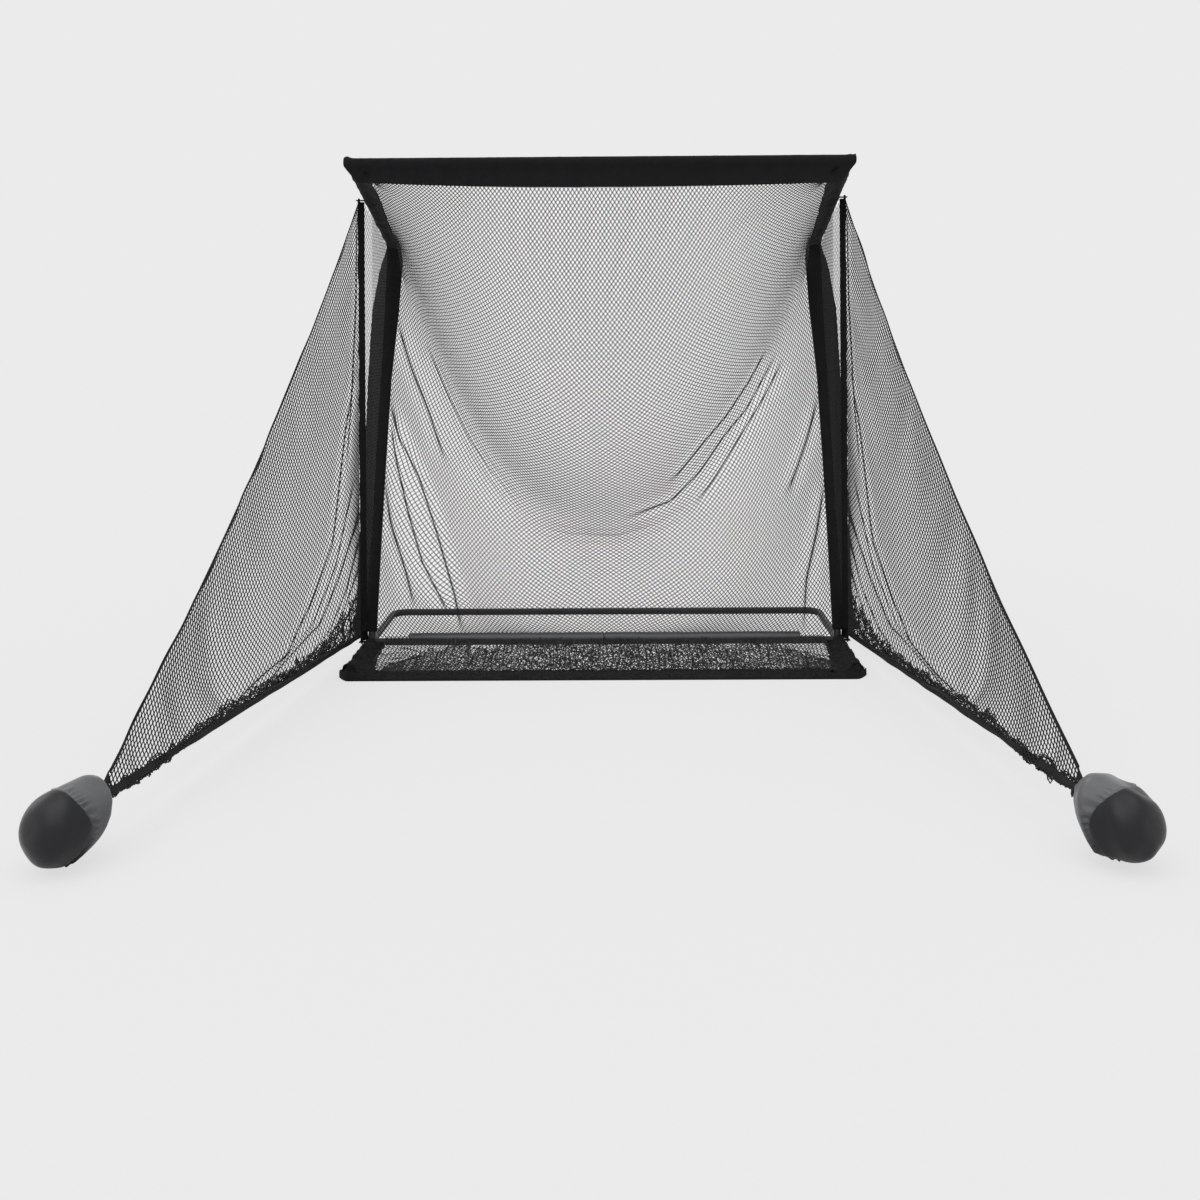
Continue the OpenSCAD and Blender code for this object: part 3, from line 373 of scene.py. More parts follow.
tube_paint = painted_metal("tube_powder_coat", (0.017, 0.017, 0.019), (0.03, 0.03, 0.033),
                           (0.09, 0.09, 0.095), 0.38, 0.55)
cap_plastic = painted_metal("end_cap_plastic", (0.013, 0.013, 0.014), (0.024, 0.024, 0.026),
                            (0.05, 0.05, 0.052), 0.55, 0.75)
sleeve_cloth = woven_cloth("sleeve_polyester", (0.006, 0.006, 0.007),
                           (0.014, 0.014, 0.0152), 5200.0, 0.00025)
webbing_cloth = woven_cloth("webbing", (0.007, 0.007, 0.0075), (0.018, 0.018, 0.019),
                            2600.0, 0.0004, 0.8)
cord_braid = woven_cloth("cord_braid", (0.008, 0.008, 0.009), (0.02, 0.02, 0.022),
                         3600.0, 0.0004, 0.75)
button_metal = steel("button_plated_steel", (0.66, 0.67, 0.69), 0.2, 0.34)
spring_metal = steel("clip_spring_steel", (0.42, 0.43, 0.45), 0.3, 0.45)

# Netting twine: black polyester with a slight lustre, and lighter where it is rubbed
net_twine, tree, shader = new_finish("net_twine", Specular_IOR_Level=0.3, Sheen_Weight=0.1)
where = coordinates(tree)
uneven(tree, shader, where, 22.0, (0.007, 0.007, 0.008), (0.02, 0.02, 0.022), 0.6, 0.85)
emboss(tree, shader, noise(tree, where, 700.0, 2.0), 0.0003, 0.5)

# Closed-cell foam: a fine dimpled skin, charcoal, with a broad soft shine
foam_skin, tree, shader = new_finish("foam_skin", Specular_IOR_Level=0.62)
where = coordinates(tree)
uneven(tree, shader, where, 26.0, (0.024, 0.025, 0.028), (0.044, 0.046, 0.052), 0.30, 0.46)
cells = node(tree, "TexVoronoi", [("Vector", where), ("Scale", 420.0)])
emboss(tree, shader, cells.outputs["Distance"], 0.0003, 0.5)

# Coated bag cloth: tight weave under a shiny coat. The side wall's paler tones are a painted
# highlight for that coat's shine, brightest on top, and the piece's attribute "panel" blends
# them to the dark end panel and adds painted shade lower down the wall
bag_cloth, tree, shader = new_finish("bag_coated_cloth", 0.33, Specular_IOR_Level=0.3,
                                     Sheen_Weight=0.2, Sheen_Roughness=0.3)
# Painted highlight: the wall's grey tones stand for the coat's shine; the end panel's near black
# tones are the cloth's own colour
wall, end = (place(tree, weave, coordinates(tree, "UV"), Threads=4200.0, Dark=dark, Light=light)
             for dark, light in (((0.08, 0.082, 0.086), (0.19, 0.195, 0.20)),
                                 ((0.006, 0.0065, 0.0075), (0.014, 0.015, 0.017))))
# The attribute "panel" is 1 on the end panel, and on the wall it is painted shade
panel = node(tree, "Attribute", attribute_name="panel").outputs["Fac"]
tree.links.new(mix_colour(tree, panel, wall["Color"], end["Color"]), shader.inputs["Base Color"])
emboss(tree, shader, wall["Height"], 0.0002, 0.5)

# Dry sand, which only shows through the bag's neck
sand_grains, tree, shader = new_finish("sand_grains", 0.95)
tone = place(tree, mottle, coordinates(tree), Scale=900.0, Dark=(0.34, 0.25, 0.15),
             Light=(0.68, 0.55, 0.37))
tree.links.new(tone["Color"], shader.inputs["Base Color"])
emboss(tree, shader, tone["Height"], 0.0008, 0.8)
print("finishes:", [m.name for m in bpy.data.materials])

# %% Paint the CAD nodes that stay
def paint(material, *names):
    """Gives CAD nodes a finish; their shape stays as it is."""
    for name in names:
        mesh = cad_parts[name].data
        mesh.materials.clear()
        mesh.materials.append(material)


def pair(name):
    """The left and right names of a node or piece."""
    return name + "_left", name + "_right"


for name in ("base_side", "rear_corner", "crossbar", "leg_lower", "leg_upper", "arm", "top_bar"):
    paint(tube_paint, *pair(name))
paint(tube_paint, "rear_rail")
paint(cap_plastic, "tube_end_caps")
paint(spring_metal, "button_clips")
paint(button_metal, *[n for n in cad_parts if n.startswith("button_") and n != "button_clips"])
paint(sand_grains, *pair("sand"))
paint(webbing_cloth, *pair("cord_ties"))
print("painted CAD nodes:", sum(len(o.data.materials) > 0 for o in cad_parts.values()))

# %% [markdown]
# ## The side frame as lines
# The sleeves and the netting follow the tubes, so the middles of the tubes are kept as
# vectors: the leg leans back from its foot, and the arm leaves the elbow at a right angle.

# %% Side frame lines
LEAN, FLAP_TILT = np.radians(17.5), np.radians(35.0)
HALF_W, BAR_END, TUBE_R, BEND_R = 1.051, 1.073, 0.016, 0.070
TIPS = 0.42117  # the front ends of the base tubes
LEG_Y = TIPS + 0.480
ACROSS, UP = np.array([1.0, 0, 0]), np.array([0, 0, 1.0])
ALONG_LEG = np.array([0.0, np.sin(LEAN), np.cos(LEAN)])
ALONG_ARM = np.array([0.0, -np.cos(LEAN), np.sin(LEAN)])
FOOT = np.array([HALF_W, LEG_Y, TUBE_R])
ELBOW = FOOT + 1.9 * ALONG_LEG
TOP = ELBOW + 1.005 * ALONG_ARM
ARM_FLAP = -np.cos(FLAP_TILT) * ACROSS - np.sin(FLAP_TILT) * ALONG_LEG


def flap_drop(x):
    """Drop of the top flap below the bar: 110 mm in the middle, less towards the ends by a
    square law, and cut slantwise past the arms."""
    s = np.asarray(x, float) / 0.98
    full = 0.110 - 0.0185 * s ** 2 + 0.0065 * s * np.abs(s)
    return np.minimum(full, 0.018 + (BAR_END - np.abs(x)).clip(0) * 1.25)


def arm_reach(at):
    """Reach of an arm's flap, which narrows from the top bar to the elbow."""
    return np.interp(at, [0.02, 0.2, 0.4, 0.69, 0.93], [0.100, 0.100, 0.088, 0.067, 0.055])


def leg_reach(at, outward):
    """Reach of a leg's flap at a distance along the leg, outward or inward."""
    if outward:
        return np.interp(at, [0.045, 0.15, 0.64, 1.22, 1.57, 1.65, 1.76, 1.83],
                         [0.090, 0.078, 0.076, 0.084, 0.083, 0.073, 0.061, 0.046])
    return np.interp(at, [0.045, 0.3, 0.64, 1.22, 1.57, 1.83],
                     [0.022, 0.021, 0.022, 0.029, 0.049, 0.056])


print("elbow", ELBOW.round(4), "top bar", TOP.round(4))

# %% [markdown]
# ## Netting that hangs
# Netting is knotted twine in a diamond lattice. A bar between two knots can't get longer, but
# it folds for free, and that alone makes the swags that a loose net shows. Blender's cloth
# treats a mesh as a skin, so here the knots are moved directly: let them fall a little, pull
# every bar that is too long back to its length, and repeat. Even rows hold one more knot than
# odd rows, so the lattice is two arrays, and its bars are four sets in which no knot occurs
# twice. A whole set can then be pulled at once.

# %% Let a net hang
def hang(even, odd, free_even, free_odd, bar, frames, sweeps, pull=0.6, floor=None, keep=0.97):
    """Moves knots even (m+1, c+1, 3) and odd (m, c, 3) until the net hangs. A free value of 0
    holds a knot. For a bar of length l from a to b, both ends move by (l - bar) / l times
    their share of b - a, but only if l is more than bar. No free knot sinks below the floor,
    which is 4 mm up or a function of the knots' first coordinate."""
    dt = 1 / 60
    low = floor or (lambda s: 0.004)
    we, wo = free_even[..., None].astype(float), free_odd[..., None].astype(float)
    speed_e, speed_o = np.zeros_like(even), np.zeros_like(odd)
    sets = [(even[:-1, :-1], we[:-1, :-1], odd, wo), (odd, wo, even[1:, 1:], we[1:, 1:]),
            (even[:-1, 1:], we[:-1, 1:], odd, wo), (odd, wo, even[1:, :-1], we[1:, :-1])]
    sets = [(a, wa, b, wb, 1 / np.maximum(wa + wb, 1e-9)) for a, wa, b, wb in sets]
    for _ in range(frames):
        old_e, old_o = even.copy(), odd.copy()
        for knots, speed, weight in ((even, speed_e, we), (odd, speed_o, wo)):
            speed[..., 2] -= pull * dt
            knots += speed * dt * weight
        for _ in range(sweeps):
            for a, wa, b, wb, share in sets:
                d = b - a
                length = np.sqrt(np.einsum("...i,...i", d, d))[..., None] + 1e-9
                d *= np.maximum(length - bar, 0) / length * share
                a += wa * d
                b -= wb * d
        for knots, free in ((even, free_even), (odd, free_odd)):
            np.maximum(knots[..., 2], low(knots[..., 0]), out=knots[..., 2], where=free > 0)
        speed_e, speed_o = (even - old_e) / dt * keep, (odd - old_o) / dt * keep


def finer(even, odd):
    """Twice as many rows and columns over the same surface, from the means of neighbours."""
    rows, columns = odd.shape[:2]
    grid = np.empty((2 * rows + 1, 2 * columns + 1, 3))
    grid[0::2, 0::2], grid[1::2, 1::2] = even, odd
    across = (even[:, :-1] + even[:, 1:]) / 2
    across[1:-1] = (across[1:-1] + (odd[:-1] + odd[1:]) / 2) / 2
    grid[0::2, 1::2] = across
    down = (even[:-1] + even[1:]) / 2
    down[:, 1:-1] = (down[:, 1:-1] + (odd[:, :-1] + odd[:, 1:]) / 2) / 2
    grid[1::2, 0::2] = down
    middles = (grid[:-1, :-1] + grid[1:, :-1] + grid[:-1, 1:] + grid[1:, 1:]) / 4
    return grid, middles


def along(path, shares):
    """Points at shares of the length of a path of straight runs."""
    reach = reached(path)
    return np.stack([np.interp(shares * reach[-1], reach, path[:, k]) for k in range(3)], 1)


def gather(grids, line, reach):
    """Draws knots together along a crease: a knot at a distance d from the line goes 0.93 *
    exp(-(d / reach)^2) of the way to it, and less near the line's two ends."""
    line = along(line, np.linspace(0, 1, 25))
    a, run = line[:-1], np.diff(line, axis=0)
    for grid in grids:
        t = (((grid[..., None, :] - a) * run).sum(-1) / (run ** 2).sum(-1)).clip(0, 1)
        nearest = a + t[..., None] * run
        d2 = ((grid[..., None, :] - nearest) ** 2).sum(-1)
        best = d2.argmin(-1)
        at = (best + np.take_along_axis(t, best[..., None], -1)[..., 0]) / len(a)
        there = np.take_along_axis(nearest, best[..., None, None], -2)[..., 0, :]
        fade = (np.minimum(at, 1 - at) / 0.12).clip(0, 1)
        grid += (0.93 * fade * np.exp(-d2.min(-1) / reach ** 2))[..., None] * (there - grid)


def ease(even, odd, free, times):
    """Softens a net: each pass moves every free knot halfway to the mean of its neighbours."""
    for _ in range(times):
        odd += ((even[:-1, :-1] + even[1:, 1:] + even[:-1, 1:] + even[1:, :-1]) / 4 - odd) / 2
        middle = (odd[:-1, :-1] + odd[1:, 1:] + odd[:-1, 1:] + odd[1:, :-1]) / 4
        even[1:-1, 1:-1] += (middle - even[1:-1, 1:-1]) * free[1:-1, 1:-1, None] / 2


print("hang(), gather() and ease() ready")

# %% [markdown]
# ## Twine
# Each line of twine runs slantwise down the net from knot to knot. It becomes a thin tube of
# three sides with one ring of points at every knot, and a small eight-sided bead stands for
# the knot itself. Thousands of these cost few faces and still cast true shadows.

# %% Twine from a lattice
def twine(even, odd, live_even, live_odd, radius, knot, facing):
    """Points and triangles of the twine. The ring at a knot p is p + radius * (cos a * e1 +
    sin a * e2) for three angles a, with e1 and e2 square to the line's direction there."""
    size = (2 * len(odd) + 1, 2 * odd.shape[1] + 1)
    grid, live = np.zeros(size + (3,)), np.zeros(size, bool)
    grid[0::2, 0::2], grid[1::2, 1::2] = even, odd
    live[0::2, 0::2], live[1::2, 1::2] = live_even, live_odd
    wide, known = np.pad(grid, ((1, 1), (1, 1), (0, 0))), np.pad(live, 1)
    all_points, all_faces, count = [], [], 0
    angles = np.radians([90.0, 210.0, 330.0])
    for side in (1, -1):
        ahead = slice(2, None), slice(1 + side, size[1] + 1 + side)
        behind = slice(None, -2), slice(1 - side, size[1] + 1 - side)
        has_after, has_before = known[ahead] & live, known[behind] & live
        used = has_after | has_before
        line = unit(np.where(has_after[..., None], wide[ahead], grid)
                    - np.where(has_before[..., None], wide[behind], grid))
        e1 = unit(np.cross(line, np.asarray(facing, float)))
        e2 = np.cross(line, e1)
        ring = (grid[:, :, None] + radius * (np.cos(angles)[:, None] * e1[:, :, None]
                                             + np.sin(angles)[:, None] * e2[:, :, None]))
        all_points.append(ring[used].reshape(-1, 3))
        index = count + 3 * (np.cumsum(used.ravel()).reshape(size) - 1)
        a, b = index[has_after], np.pad(index, 1)[ahead][has_after]
        for k in range(3):
            j = (k + 1) % 3
            all_faces += [np.stack([a + k, b + k, b + j], 1), np.stack([a + k, b + j, a + j], 1)]
        first, last = index[used & ~has_before], index[used & ~has_after]
        all_faces += [np.stack([first, first + 1, first + 2], 1),
                      np.stack([last, last + 2, last + 1], 1)]
        count += int(used.sum()) * 3
    beads = grid[live]
    bead = knot * np.array([[1, 0, 0], [-1, 0, 0], [0, 1, 0], [0, -1, 0], [0, 0, 1], [0, 0, -1]])
    sides = np.array([[0, 2, 4], [2, 1, 4], [1, 3, 4], [3, 0, 4],
                      [2, 0, 5], [1, 2, 5], [3, 1, 5], [0, 3, 5]])
    all_points.append((beads[:, None] + bead).reshape(-1, 3))
    all_faces.append((count + 6 * np.arange(len(beads))[:, None, None] + sides).reshape(-1, 3))
    return np.concatenate(all_points), np.concatenate(all_faces)


def net_piece(name, knots, thick, facing, node_name, body="frame", live=(True, True),
              mirror=False):
    """Netting for a CAD node, from its even and odd knots; thick is the radius of the twine
    and of a knot, and facing is the way that the net looks."""
    even, odd = (mirrored(grid, mirror) for grid in knots)
    points, faces = twine(even, odd, *live, *thick, facing)
    dress(new_mesh(name, points, faces), net_twine, "netting", body, node_name)
    print(name, len(faces), "triangles")


def knots_on(surface, columns, rows):
    """Even and odd knots of a net over a surface (u, v), whose shares run from 0 to 1."""
    u, v = (np.arange(columns) + 0.5) / columns, (np.arange(rows) + 0.5) / rows
    return (surface(*np.meshgrid(np.linspace(0, 1, columns + 1), np.linspace(0, 1, rows + 1))),
            surface(*np.meshgrid(u, v)))


# %% [markdown]
# ## The main net
# The net is sewn to the top sleeve, down both arms, round the elbows, down both legs and to
# the foam roll. The same length of net runs along the bent side as down the middle, and so
# the middle hangs in a deep swag from elbow to elbow. It starts on a simple curved surface,
# hangs at half the fineness first, and is then refined, which settles it in a few seconds.

# %% Hang the main net
NET_COLUMNS, NET_ROWS = 110, 106
BAR = 0.0162
ROLL_EDGE = (TIPS + 0.5101, 0.028)  # y and z where the net meets the foam roll


def side_edge():
    """The path of the net's right edge: the top corner, the arm, the leg and the foam roll."""
    arm_at = np.array([0.04, 0.2, 0.4, 0.69, 0.875])
    leg_at = np.array([1.77, 1.57, 1.22, 0.64, 0.055])
    arm = TOP - arm_at[:, None] * ALONG_ARM + (arm_reach(arm_at) - 0.002)[:, None] * ARM_FLAP
    leg = FOOT + leg_at[:, None] * ALONG_LEG - (leg_reach(leg_at, False) - 0.002)[:, None] * ACROSS
    x = arm[0, 0]
    corner = [x, TOP[1], TOP[2] - flap_drop(x) + 0.004]
    return np.array([corner, *arm, *leg, [HALF_W - 0.0262, *ROLL_EDGE]])


def side_knots(rows):
    """The edge's knots: the arm takes a smaller share of the rows than of the length."""
    return along(side_edge(), np.interp(np.linspace(0, 1, rows), [0, 0.275, 1], [0, 0.313, 1]))


def main_net_start(rows, columns):
    """A point at share v down and a = -1 to 1 across is the edge's point times |a|^2.2 plus
    the middle's point times the rest. The middle is a curve that five points steer."""
    steer = np.array([[TOP[1], TOP[2] - 0.106], [TOP[1] + 0.09, 0.6 * TOP[2]],
                      [TIPS + 0.57, 0.22 * TOP[2]], [TIPS + 0.76, 0.003], ROLL_EDGE])
    v = np.linspace(0, 1, 2 * rows + 1)[:, None]
    middle = sum(c * (1 - v) ** (4 - k) * v ** k * steer[k] for k, c in enumerate((1, 4, 6, 4, 1)))
    side = side_knots(2 * rows + 1)

    def row(first, across):
        a = np.abs(across)[None, :] ** 2.2
        s, m = side[first::2][:, None], middle[first::2][:, None]
        return np.stack([s[..., 0] * across, s[..., 1] * a + m[..., 0] * (1 - a),
                         s[..., 2] * a + m[..., 1] * (1 - a)], -1)
    return (row(0, np.linspace(-1, 1, columns + 1)),
            row(1, (np.arange(columns) + 0.5) / columns * 2 - 1))


def hold_border(even):
    """Puts the outer knots on the flap's edge and the side edges; returns which are free."""
    even[:, -1] = side_knots(len(even))
    even[:, 0] = even[:, -1] * [-1, 1, 1]
    even[0, :, 2] = TOP[2] - flap_drop(even[0, :, 0]) + 0.004
    free = np.zeros(even.shape[:2])
    free[1:-1, 1:-1] = 1
    return free


even, odd = main_net_start(NET_ROWS // 2, NET_COLUMNS // 2)
hang(even, odd, hold_border(even), np.ones(odd.shape[:2]), 2 * BAR,
     frames=250, sweeps=20, pull=2.0, keep=0.98)
even, odd = finer(even, odd)
free, all_odd = hold_border(even), np.ones(odd.shape[:2])
hang(even, odd, free, all_odd, BAR, frames=170, sweeps=25)
ease(even, odd, free, 55)

# Creases where the slack has gathered, in thousandths of the way across and down. The first
# ones are sharp, the next two are drawn in both before and after the net settles once more
sharp = [[(845, 425), (791, 462), (727, 500), (673, 528), (618, 585), (600, 594)],
         [(882, 453), (782, 528), (718, 557), (664, 613), (609, 660), (527, 679)],
         [(900, 472), (827, 528), (755, 585), (691, 651), (645, 698)]]
left = [[(0, 585), (55, 642), (118, 689), (173, 774), (209, 887), (191, 990)],
        [(0, 613), (36, 679), (82, 755), (127, 840), (182, 943)]]
soft = [[(991, 585), (955, 632), (909, 679), (873, 717)], *left,
        [(0, 434), (64, 500), (127, 557), (191, 642)],
        [(109, 443), (173, 509), (245, 585), (300, 632), (364, 698)],
        [(0, 726), (27, 792), (82, 868), (100, 934)],
        [(382, 726), (445, 736), (518, 736), (582, 717), (636, 689)],
        [(1000, 736), (964, 811), (927, 887), (936, 990)]]
held = even * (1 - free[..., None])
for chosen, reach in ((soft, 0.030), (sharp + left, 0.028)):
    for crease in chosen:
        spots = np.round(np.array(crease) / 1000 * [NET_COLUMNS, NET_ROWS]).astype(int)
        gather((even, odd), even[spots[:, 1], spots[:, 0]], reach)
    even = even * free[..., None] + held
    if chosen is soft:
        hang(even, odd, free, all_odd, BAR, frames=2, sweeps=25)
print("middle knots:", even[::15, NET_COLUMNS // 2].round(3).tolist())

# %% Main net pieces
TWINE_R = 0.00185
for label, first, last in (("upper", 0, 36), ("middle", 36, 71), ("lower", 71, NET_ROWS)):
    net_piece("main_net_" + label, (even[first:last + 1], odd[first:last]), (TWINE_R, 0.0032),
              (0, -1, 0.35), "main_net")

# %% [markdown]
# ## Sleeves
# Each tube of the net's outline runs in a fabric tunnel with a flat flap, to which the net is
# sewn. Cut across, a sleeve looks like an eye: round over the tube, and pressed flat to the
# flap's edge. That outline is carried along the tube, and a field of waves gives the creases.

# %% Sleeve helpers
CLOTH_R, FLAP_HALF, EYE_LENGTH, EYE_POINTS = 0.0178, 0.0016, 0.026, 44


def eye(low, high):
    """Outline of a sleeve, as (x, h) round the loop. Past the tube the half height is flap +
    (radius - flap) / (1 + (x / length)^4), and a side without a flap is a half circle."""
    share = (1 - np.cos(np.linspace(0, np.pi, EYE_POINTS // 2 + 1))) / 2
    x = -low + (high + low) * share
    h = FLAP_HALF + (CLOTH_R - FLAP_HALF) / (1 + (np.abs(x) / EYE_LENGTH) ** 4)
    h = h * np.sqrt((np.minimum(x + low, high - x).clip(0) / 0.004).clip(0, 1))
    round_side = np.sqrt((CLOTH_R ** 2 - x ** 2).clip(0))
    for no_flap in ((x < 0) & (low <= CLOTH_R + 1e-6), (x > 0) & (high <= CLOTH_R + 1e-6)):
        h = np.where(no_flap, round_side, h)
    return np.concatenate([x, x[-2:0:-1]]), np.concatenate([h, -h[-2:0:-1]])


def sleeve_rings(origins, across, thick, lows, highs, field, crease, sway):
    """Rings of a sleeve: origin + x * across + (h + crease) * thick, where the crease field
    lifts the cloth and the flap sways more towards its edge."""
    rings, reach = [], reached(origins)
    across, thick = np.broadcast_to(across, origins.shape), np.broadcast_to(thick, origins.shape)
    lows, highs = np.broadcast_to(lows, reach.shape), np.broadcast_to(highs, reach.shape)
    for o, a, t, low, high, s in zip(origins, across, thick, lows, highs, reach):
        x, h = eye(low, high)
        side = np.sign(h)
        fold = field(s + 0.4 * x, x * 2.0 + side * 0.35)
        h = h + side * crease * (0.25 + np.maximum(fold, -0.2)) * (np.abs(h) > 1e-6)
        h = h + sway * (np.abs(x).clip(0, 0.1) / 0.1) * field(s * 0.6 + 7.0, 0.3)
        rings.append(o + x[:, None] * a + h[:, None] * t)
    return np.array(rings)


def sleeve_piece(kind, rings, side="", mirror=False):
    """A sewn sleeve: the rings as a skin, with the thickness of its cloth."""
    thing = skin_piece(kind + "_sleeve_cloth" + side, rings, mirror=mirror)
    thicken(thing, 0.0009)
    dress(thing, sleeve_cloth, "sleeve_fabric", "frame", kind + "_sleeve" + side)


# %% Top sleeve
x_run = np.linspace(-BAR_END, BAR_END, 300)
origins = np.stack([x_run, np.full_like(x_run, TOP[1]), np.full_like(x_run, TOP[2])], 1)
rings = sleeve_rings(origins, [0, 0, -1], [0, 1, 0], CLOTH_R, flap_drop(x_run),
                     waves(11, 26, 0.03, 0.35), 0.003, 0.006)
# The fabric bunches into a knob over each end of the bar
knob = 0.007 * np.clip((np.abs(x_run) - 1.035) / 0.025, 0, 1)
knob = knob * (0.7 + 0.5 * waves(12, 9, 0.02, 0.06)(x_run, 0 * x_run))
away = rings - origins[:, None]
rings += knob[:, None, None] * unit(away) * (away[..., 2:] > -0.01)
sleeve_piece("top", rings[::-1])
print("top sleeve:", rings.shape)

# %% Arm sleeves
at = np.linspace(0.004, 0.934, 120)
for side, mirror in SIDES:
    rings = sleeve_rings(TOP - at[:, None] * ALONG_ARM, ARM_FLAP, np.cross(-ALONG_ARM, ARM_FLAP),
                         CLOTH_R, arm_reach(at), waves(21 + mirror, 24, 0.03, 0.3), 0.003, 0.004)
    sleeve_piece("arm", rings, "_" + side, mirror)

# %% Leg sleeves
BEND_AT = 1.83  # where the elbow's bend begins
straight = np.linspace(0.045, BEND_AT, 200)
turn = np.linspace(0, np.pi / 2, 26)[1:]
c, s = np.cos(turn)[:, None], np.sin(turn)[:, None]
middle = FOOT + BEND_AT * ALONG_LEG + BEND_R * ALONG_ARM
origins = np.concatenate([FOOT + straight[:, None] * ALONG_LEG,
                          middle + BEND_R * (-c * ALONG_ARM + s * ALONG_LEG)])
ahead = np.concatenate([np.tile(ALONG_LEG, (len(straight), 1)), c * ALONG_LEG + s * ALONG_ARM])
lows = np.concatenate([leg_reach(straight, False), 0.056 - 0.010 * np.sin(turn)])
highs = np.concatenate([leg_reach(straight, True), 0.046 - 0.027 * np.sin(turn)])
for side, mirror in SIDES:
    rings = sleeve_rings(origins, ACROSS, np.cross(ACROSS, ahead), lows, highs,
                         waves(31 + mirror, 26, 0.03, 0.4), 0.003, 0.005)
    sleeve_piece("leg", rings[::-1], "_" + side, mirror)

# %% Base sleeves
run = np.linspace(0.001, 0.455, 80)
origins = np.stack([np.full_like(run, HALF_W), TIPS + run, np.full_like(run, TUBE_R)], 1)
for side, mirror in SIDES:
    lump, edge = waves(43 + mirror, 16, 0.04, 0.14), waves(45 + mirror, 16, 0.02, 0.10)
    wide = np.interp(run, [0, 0.12, 0.30, 0.455], [0.112, 0.088, 0.070, 0.062])
    rings = sleeve_rings(origins, [-1, 0, 0], UP, CLOTH_R, wide + 0.004 * edge(run, 0 * run),
                         waves(41 + mirror, 20, 0.02, 0.2), 0.006, 0.003)
    # Loose fabric bulges round the tube, and the flap sinks from the tube to the floor
    away = rings - origins[:, None]
    bulge = (0.005 + 0.005 * lump(run, 0 * run))[:, None, None]
    rings += unit(away) * bulge * (away[..., 0:1] > -0.02)
    sink = np.clip((HALF_W - 0.018 - rings[..., 0]) / 0.03, 0, 1)
    rings[..., 2] = np.maximum(rings[..., 2] - 0.0125 * sink, 0.0006)
    sleeve_piece("base", rings, "_" + side, mirror)

# %% [markdown]
# ## The foam roll
# A slit tube of closed-cell foam is pressed over the crossbar, so that a low ball can't strike
# steel. It is a long cylinder with softly rounded ends, a slit underneath and shallow dents.

# %% Foam roll
FOAM_R, FOAM_Z, FOAM_BORE_R, FOAM_ROUND = 0.0278, 0.028, 0.0168, 0.004
low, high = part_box("foam_roll_right")
x0, x1, y0 = low[0], high[0], (low[1] + high[1]) / 2
ends = FOAM_ROUND * (1 - np.cos(np.linspace(0, np.pi / 2, 6)))
run = np.concatenate([x0 + ends, np.linspace(x0 + 0.006, x1 - 0.006, 150), (x1 - ends)[::-1]])
inset = np.minimum(run - x0, x1 - run).clip(0, FOAM_ROUND)
shrink = FOAM_ROUND - np.sqrt((FOAM_ROUND ** 2 - (FOAM_ROUND - inset) ** 2).clip(0))
angle = np.radians(np.linspace(-90 + 22, 270 - 22, 56))


def foam_wall(r, z):
    """Points of the roll's outer or inner wall, whose middle is at height z."""
    return np.stack([run[:, None] + 0 * r, y0 + r * np.cos(angle), z + r * np.sin(angle)], -1)


for side, mirror in SIDES:
    dents = waves(51 + mirror, 20, 0.04, 0.5)(run[:, None], angle[None, :] * 0.03)
    outer = foam_wall(FOAM_R - shrink[:, None] - 0.0008 * (1 + dents), FOAM_Z)
    inner = foam_wall(FOAM_BORE_R + 0 * dents, 0.0176)
    inner[..., 2] = np.maximum(inner[..., 2], 0.0035)
    loop = np.concatenate([outer, inner[:, ::-1]], 1)
    points, faces, uv = skin(loop[::-1])
    n, k, half = loop.shape[0], loop.shape[1], outer.shape[1]
    if mirror:
        faces = faces[:, ::-1]
    # The ends are strips of quads from the outer to the inner wall
    j = np.arange(half - 1)
    first = np.stack([j, j + 1, k - 2 - j, k - 1 - j], 1)
    last = first + (n - 1) * k
    first, last = (first[:, ::-1], last) if mirror else (first, last[:, ::-1])
    faces = np.concatenate([faces, first, last])
    uv = np.concatenate([uv, np.zeros((8 * (half - 1), 2))])
    thing = new_mesh("foam_half_" + side, mirrored(points, mirror), faces, uv)
    dress(thing, foam_skin, "foam", "frame", "foam_roll_" + side)
print("foam halves made")

# %% [markdown]
# ## Front hem and floor net
# In front of the foam the net lies on the floor, gathered between a heavy hem and the roll. It
# is cut over half as wide again as the space between the base tubes, so it lies in ruffles.

# %% Front hem
run = np.linspace(-1.083, 1.083, 300)[:, None]
share = np.linspace(0, 1, 40)[None, :]
depth = TIPS - 0.085 + 0.143 * share
lumps = waves(61, 30, 0.02, 0.25)(run, depth * 3)
ripple = waves(62, 30, 0.008, 0.05)
fine = ripple(run, depth * 2)
rise = 0.004 + 0.006 * np.exp(-((share - 0.06) / 0.07) ** 2)
rise = rise * np.sqrt((np.minimum(share, 1 - share) / 0.03).clip(0, 1))
# The hem is bulky where it is sewn round the ends of the base sleeves
rise = rise * (1 + 1.7 * np.exp(-((np.abs(run) - 1.05) / 0.05) ** 2)) * (1 + 0.5 * lumps)
rise = rise + 0.0045 * np.maximum(fine, 0) * (share > 0.02)
# Its outer corners are drawn in round the tube ends, and bulge there
drawn = np.clip((np.abs(run) - 1.035) / 0.048, 0, 1) ** 1.6
y = depth + (0.004 * ripple(run, 0 * run) * share ** 2 + 0.062 * drawn * (1 - share))
bulge = np.exp(-((np.abs(run) - 1.05) / 0.024) ** 2 - ((share - 0.62) / 0.22) ** 2)
rise = rise + 0.026 * bulge * (1 + 0.5 * fine)
upper = np.stack([run + 0 * rise, y, rise.clip(0.001)], -1)
lower = upper.copy()
lower[..., 2] = 0.0006
thing = skin_piece("front_hem_cloth", np.concatenate([upper, lower[:, ::-1]], 1))
dress(thing, sleeve_cloth, "sleeve_fabric", "frame", "front_hem")

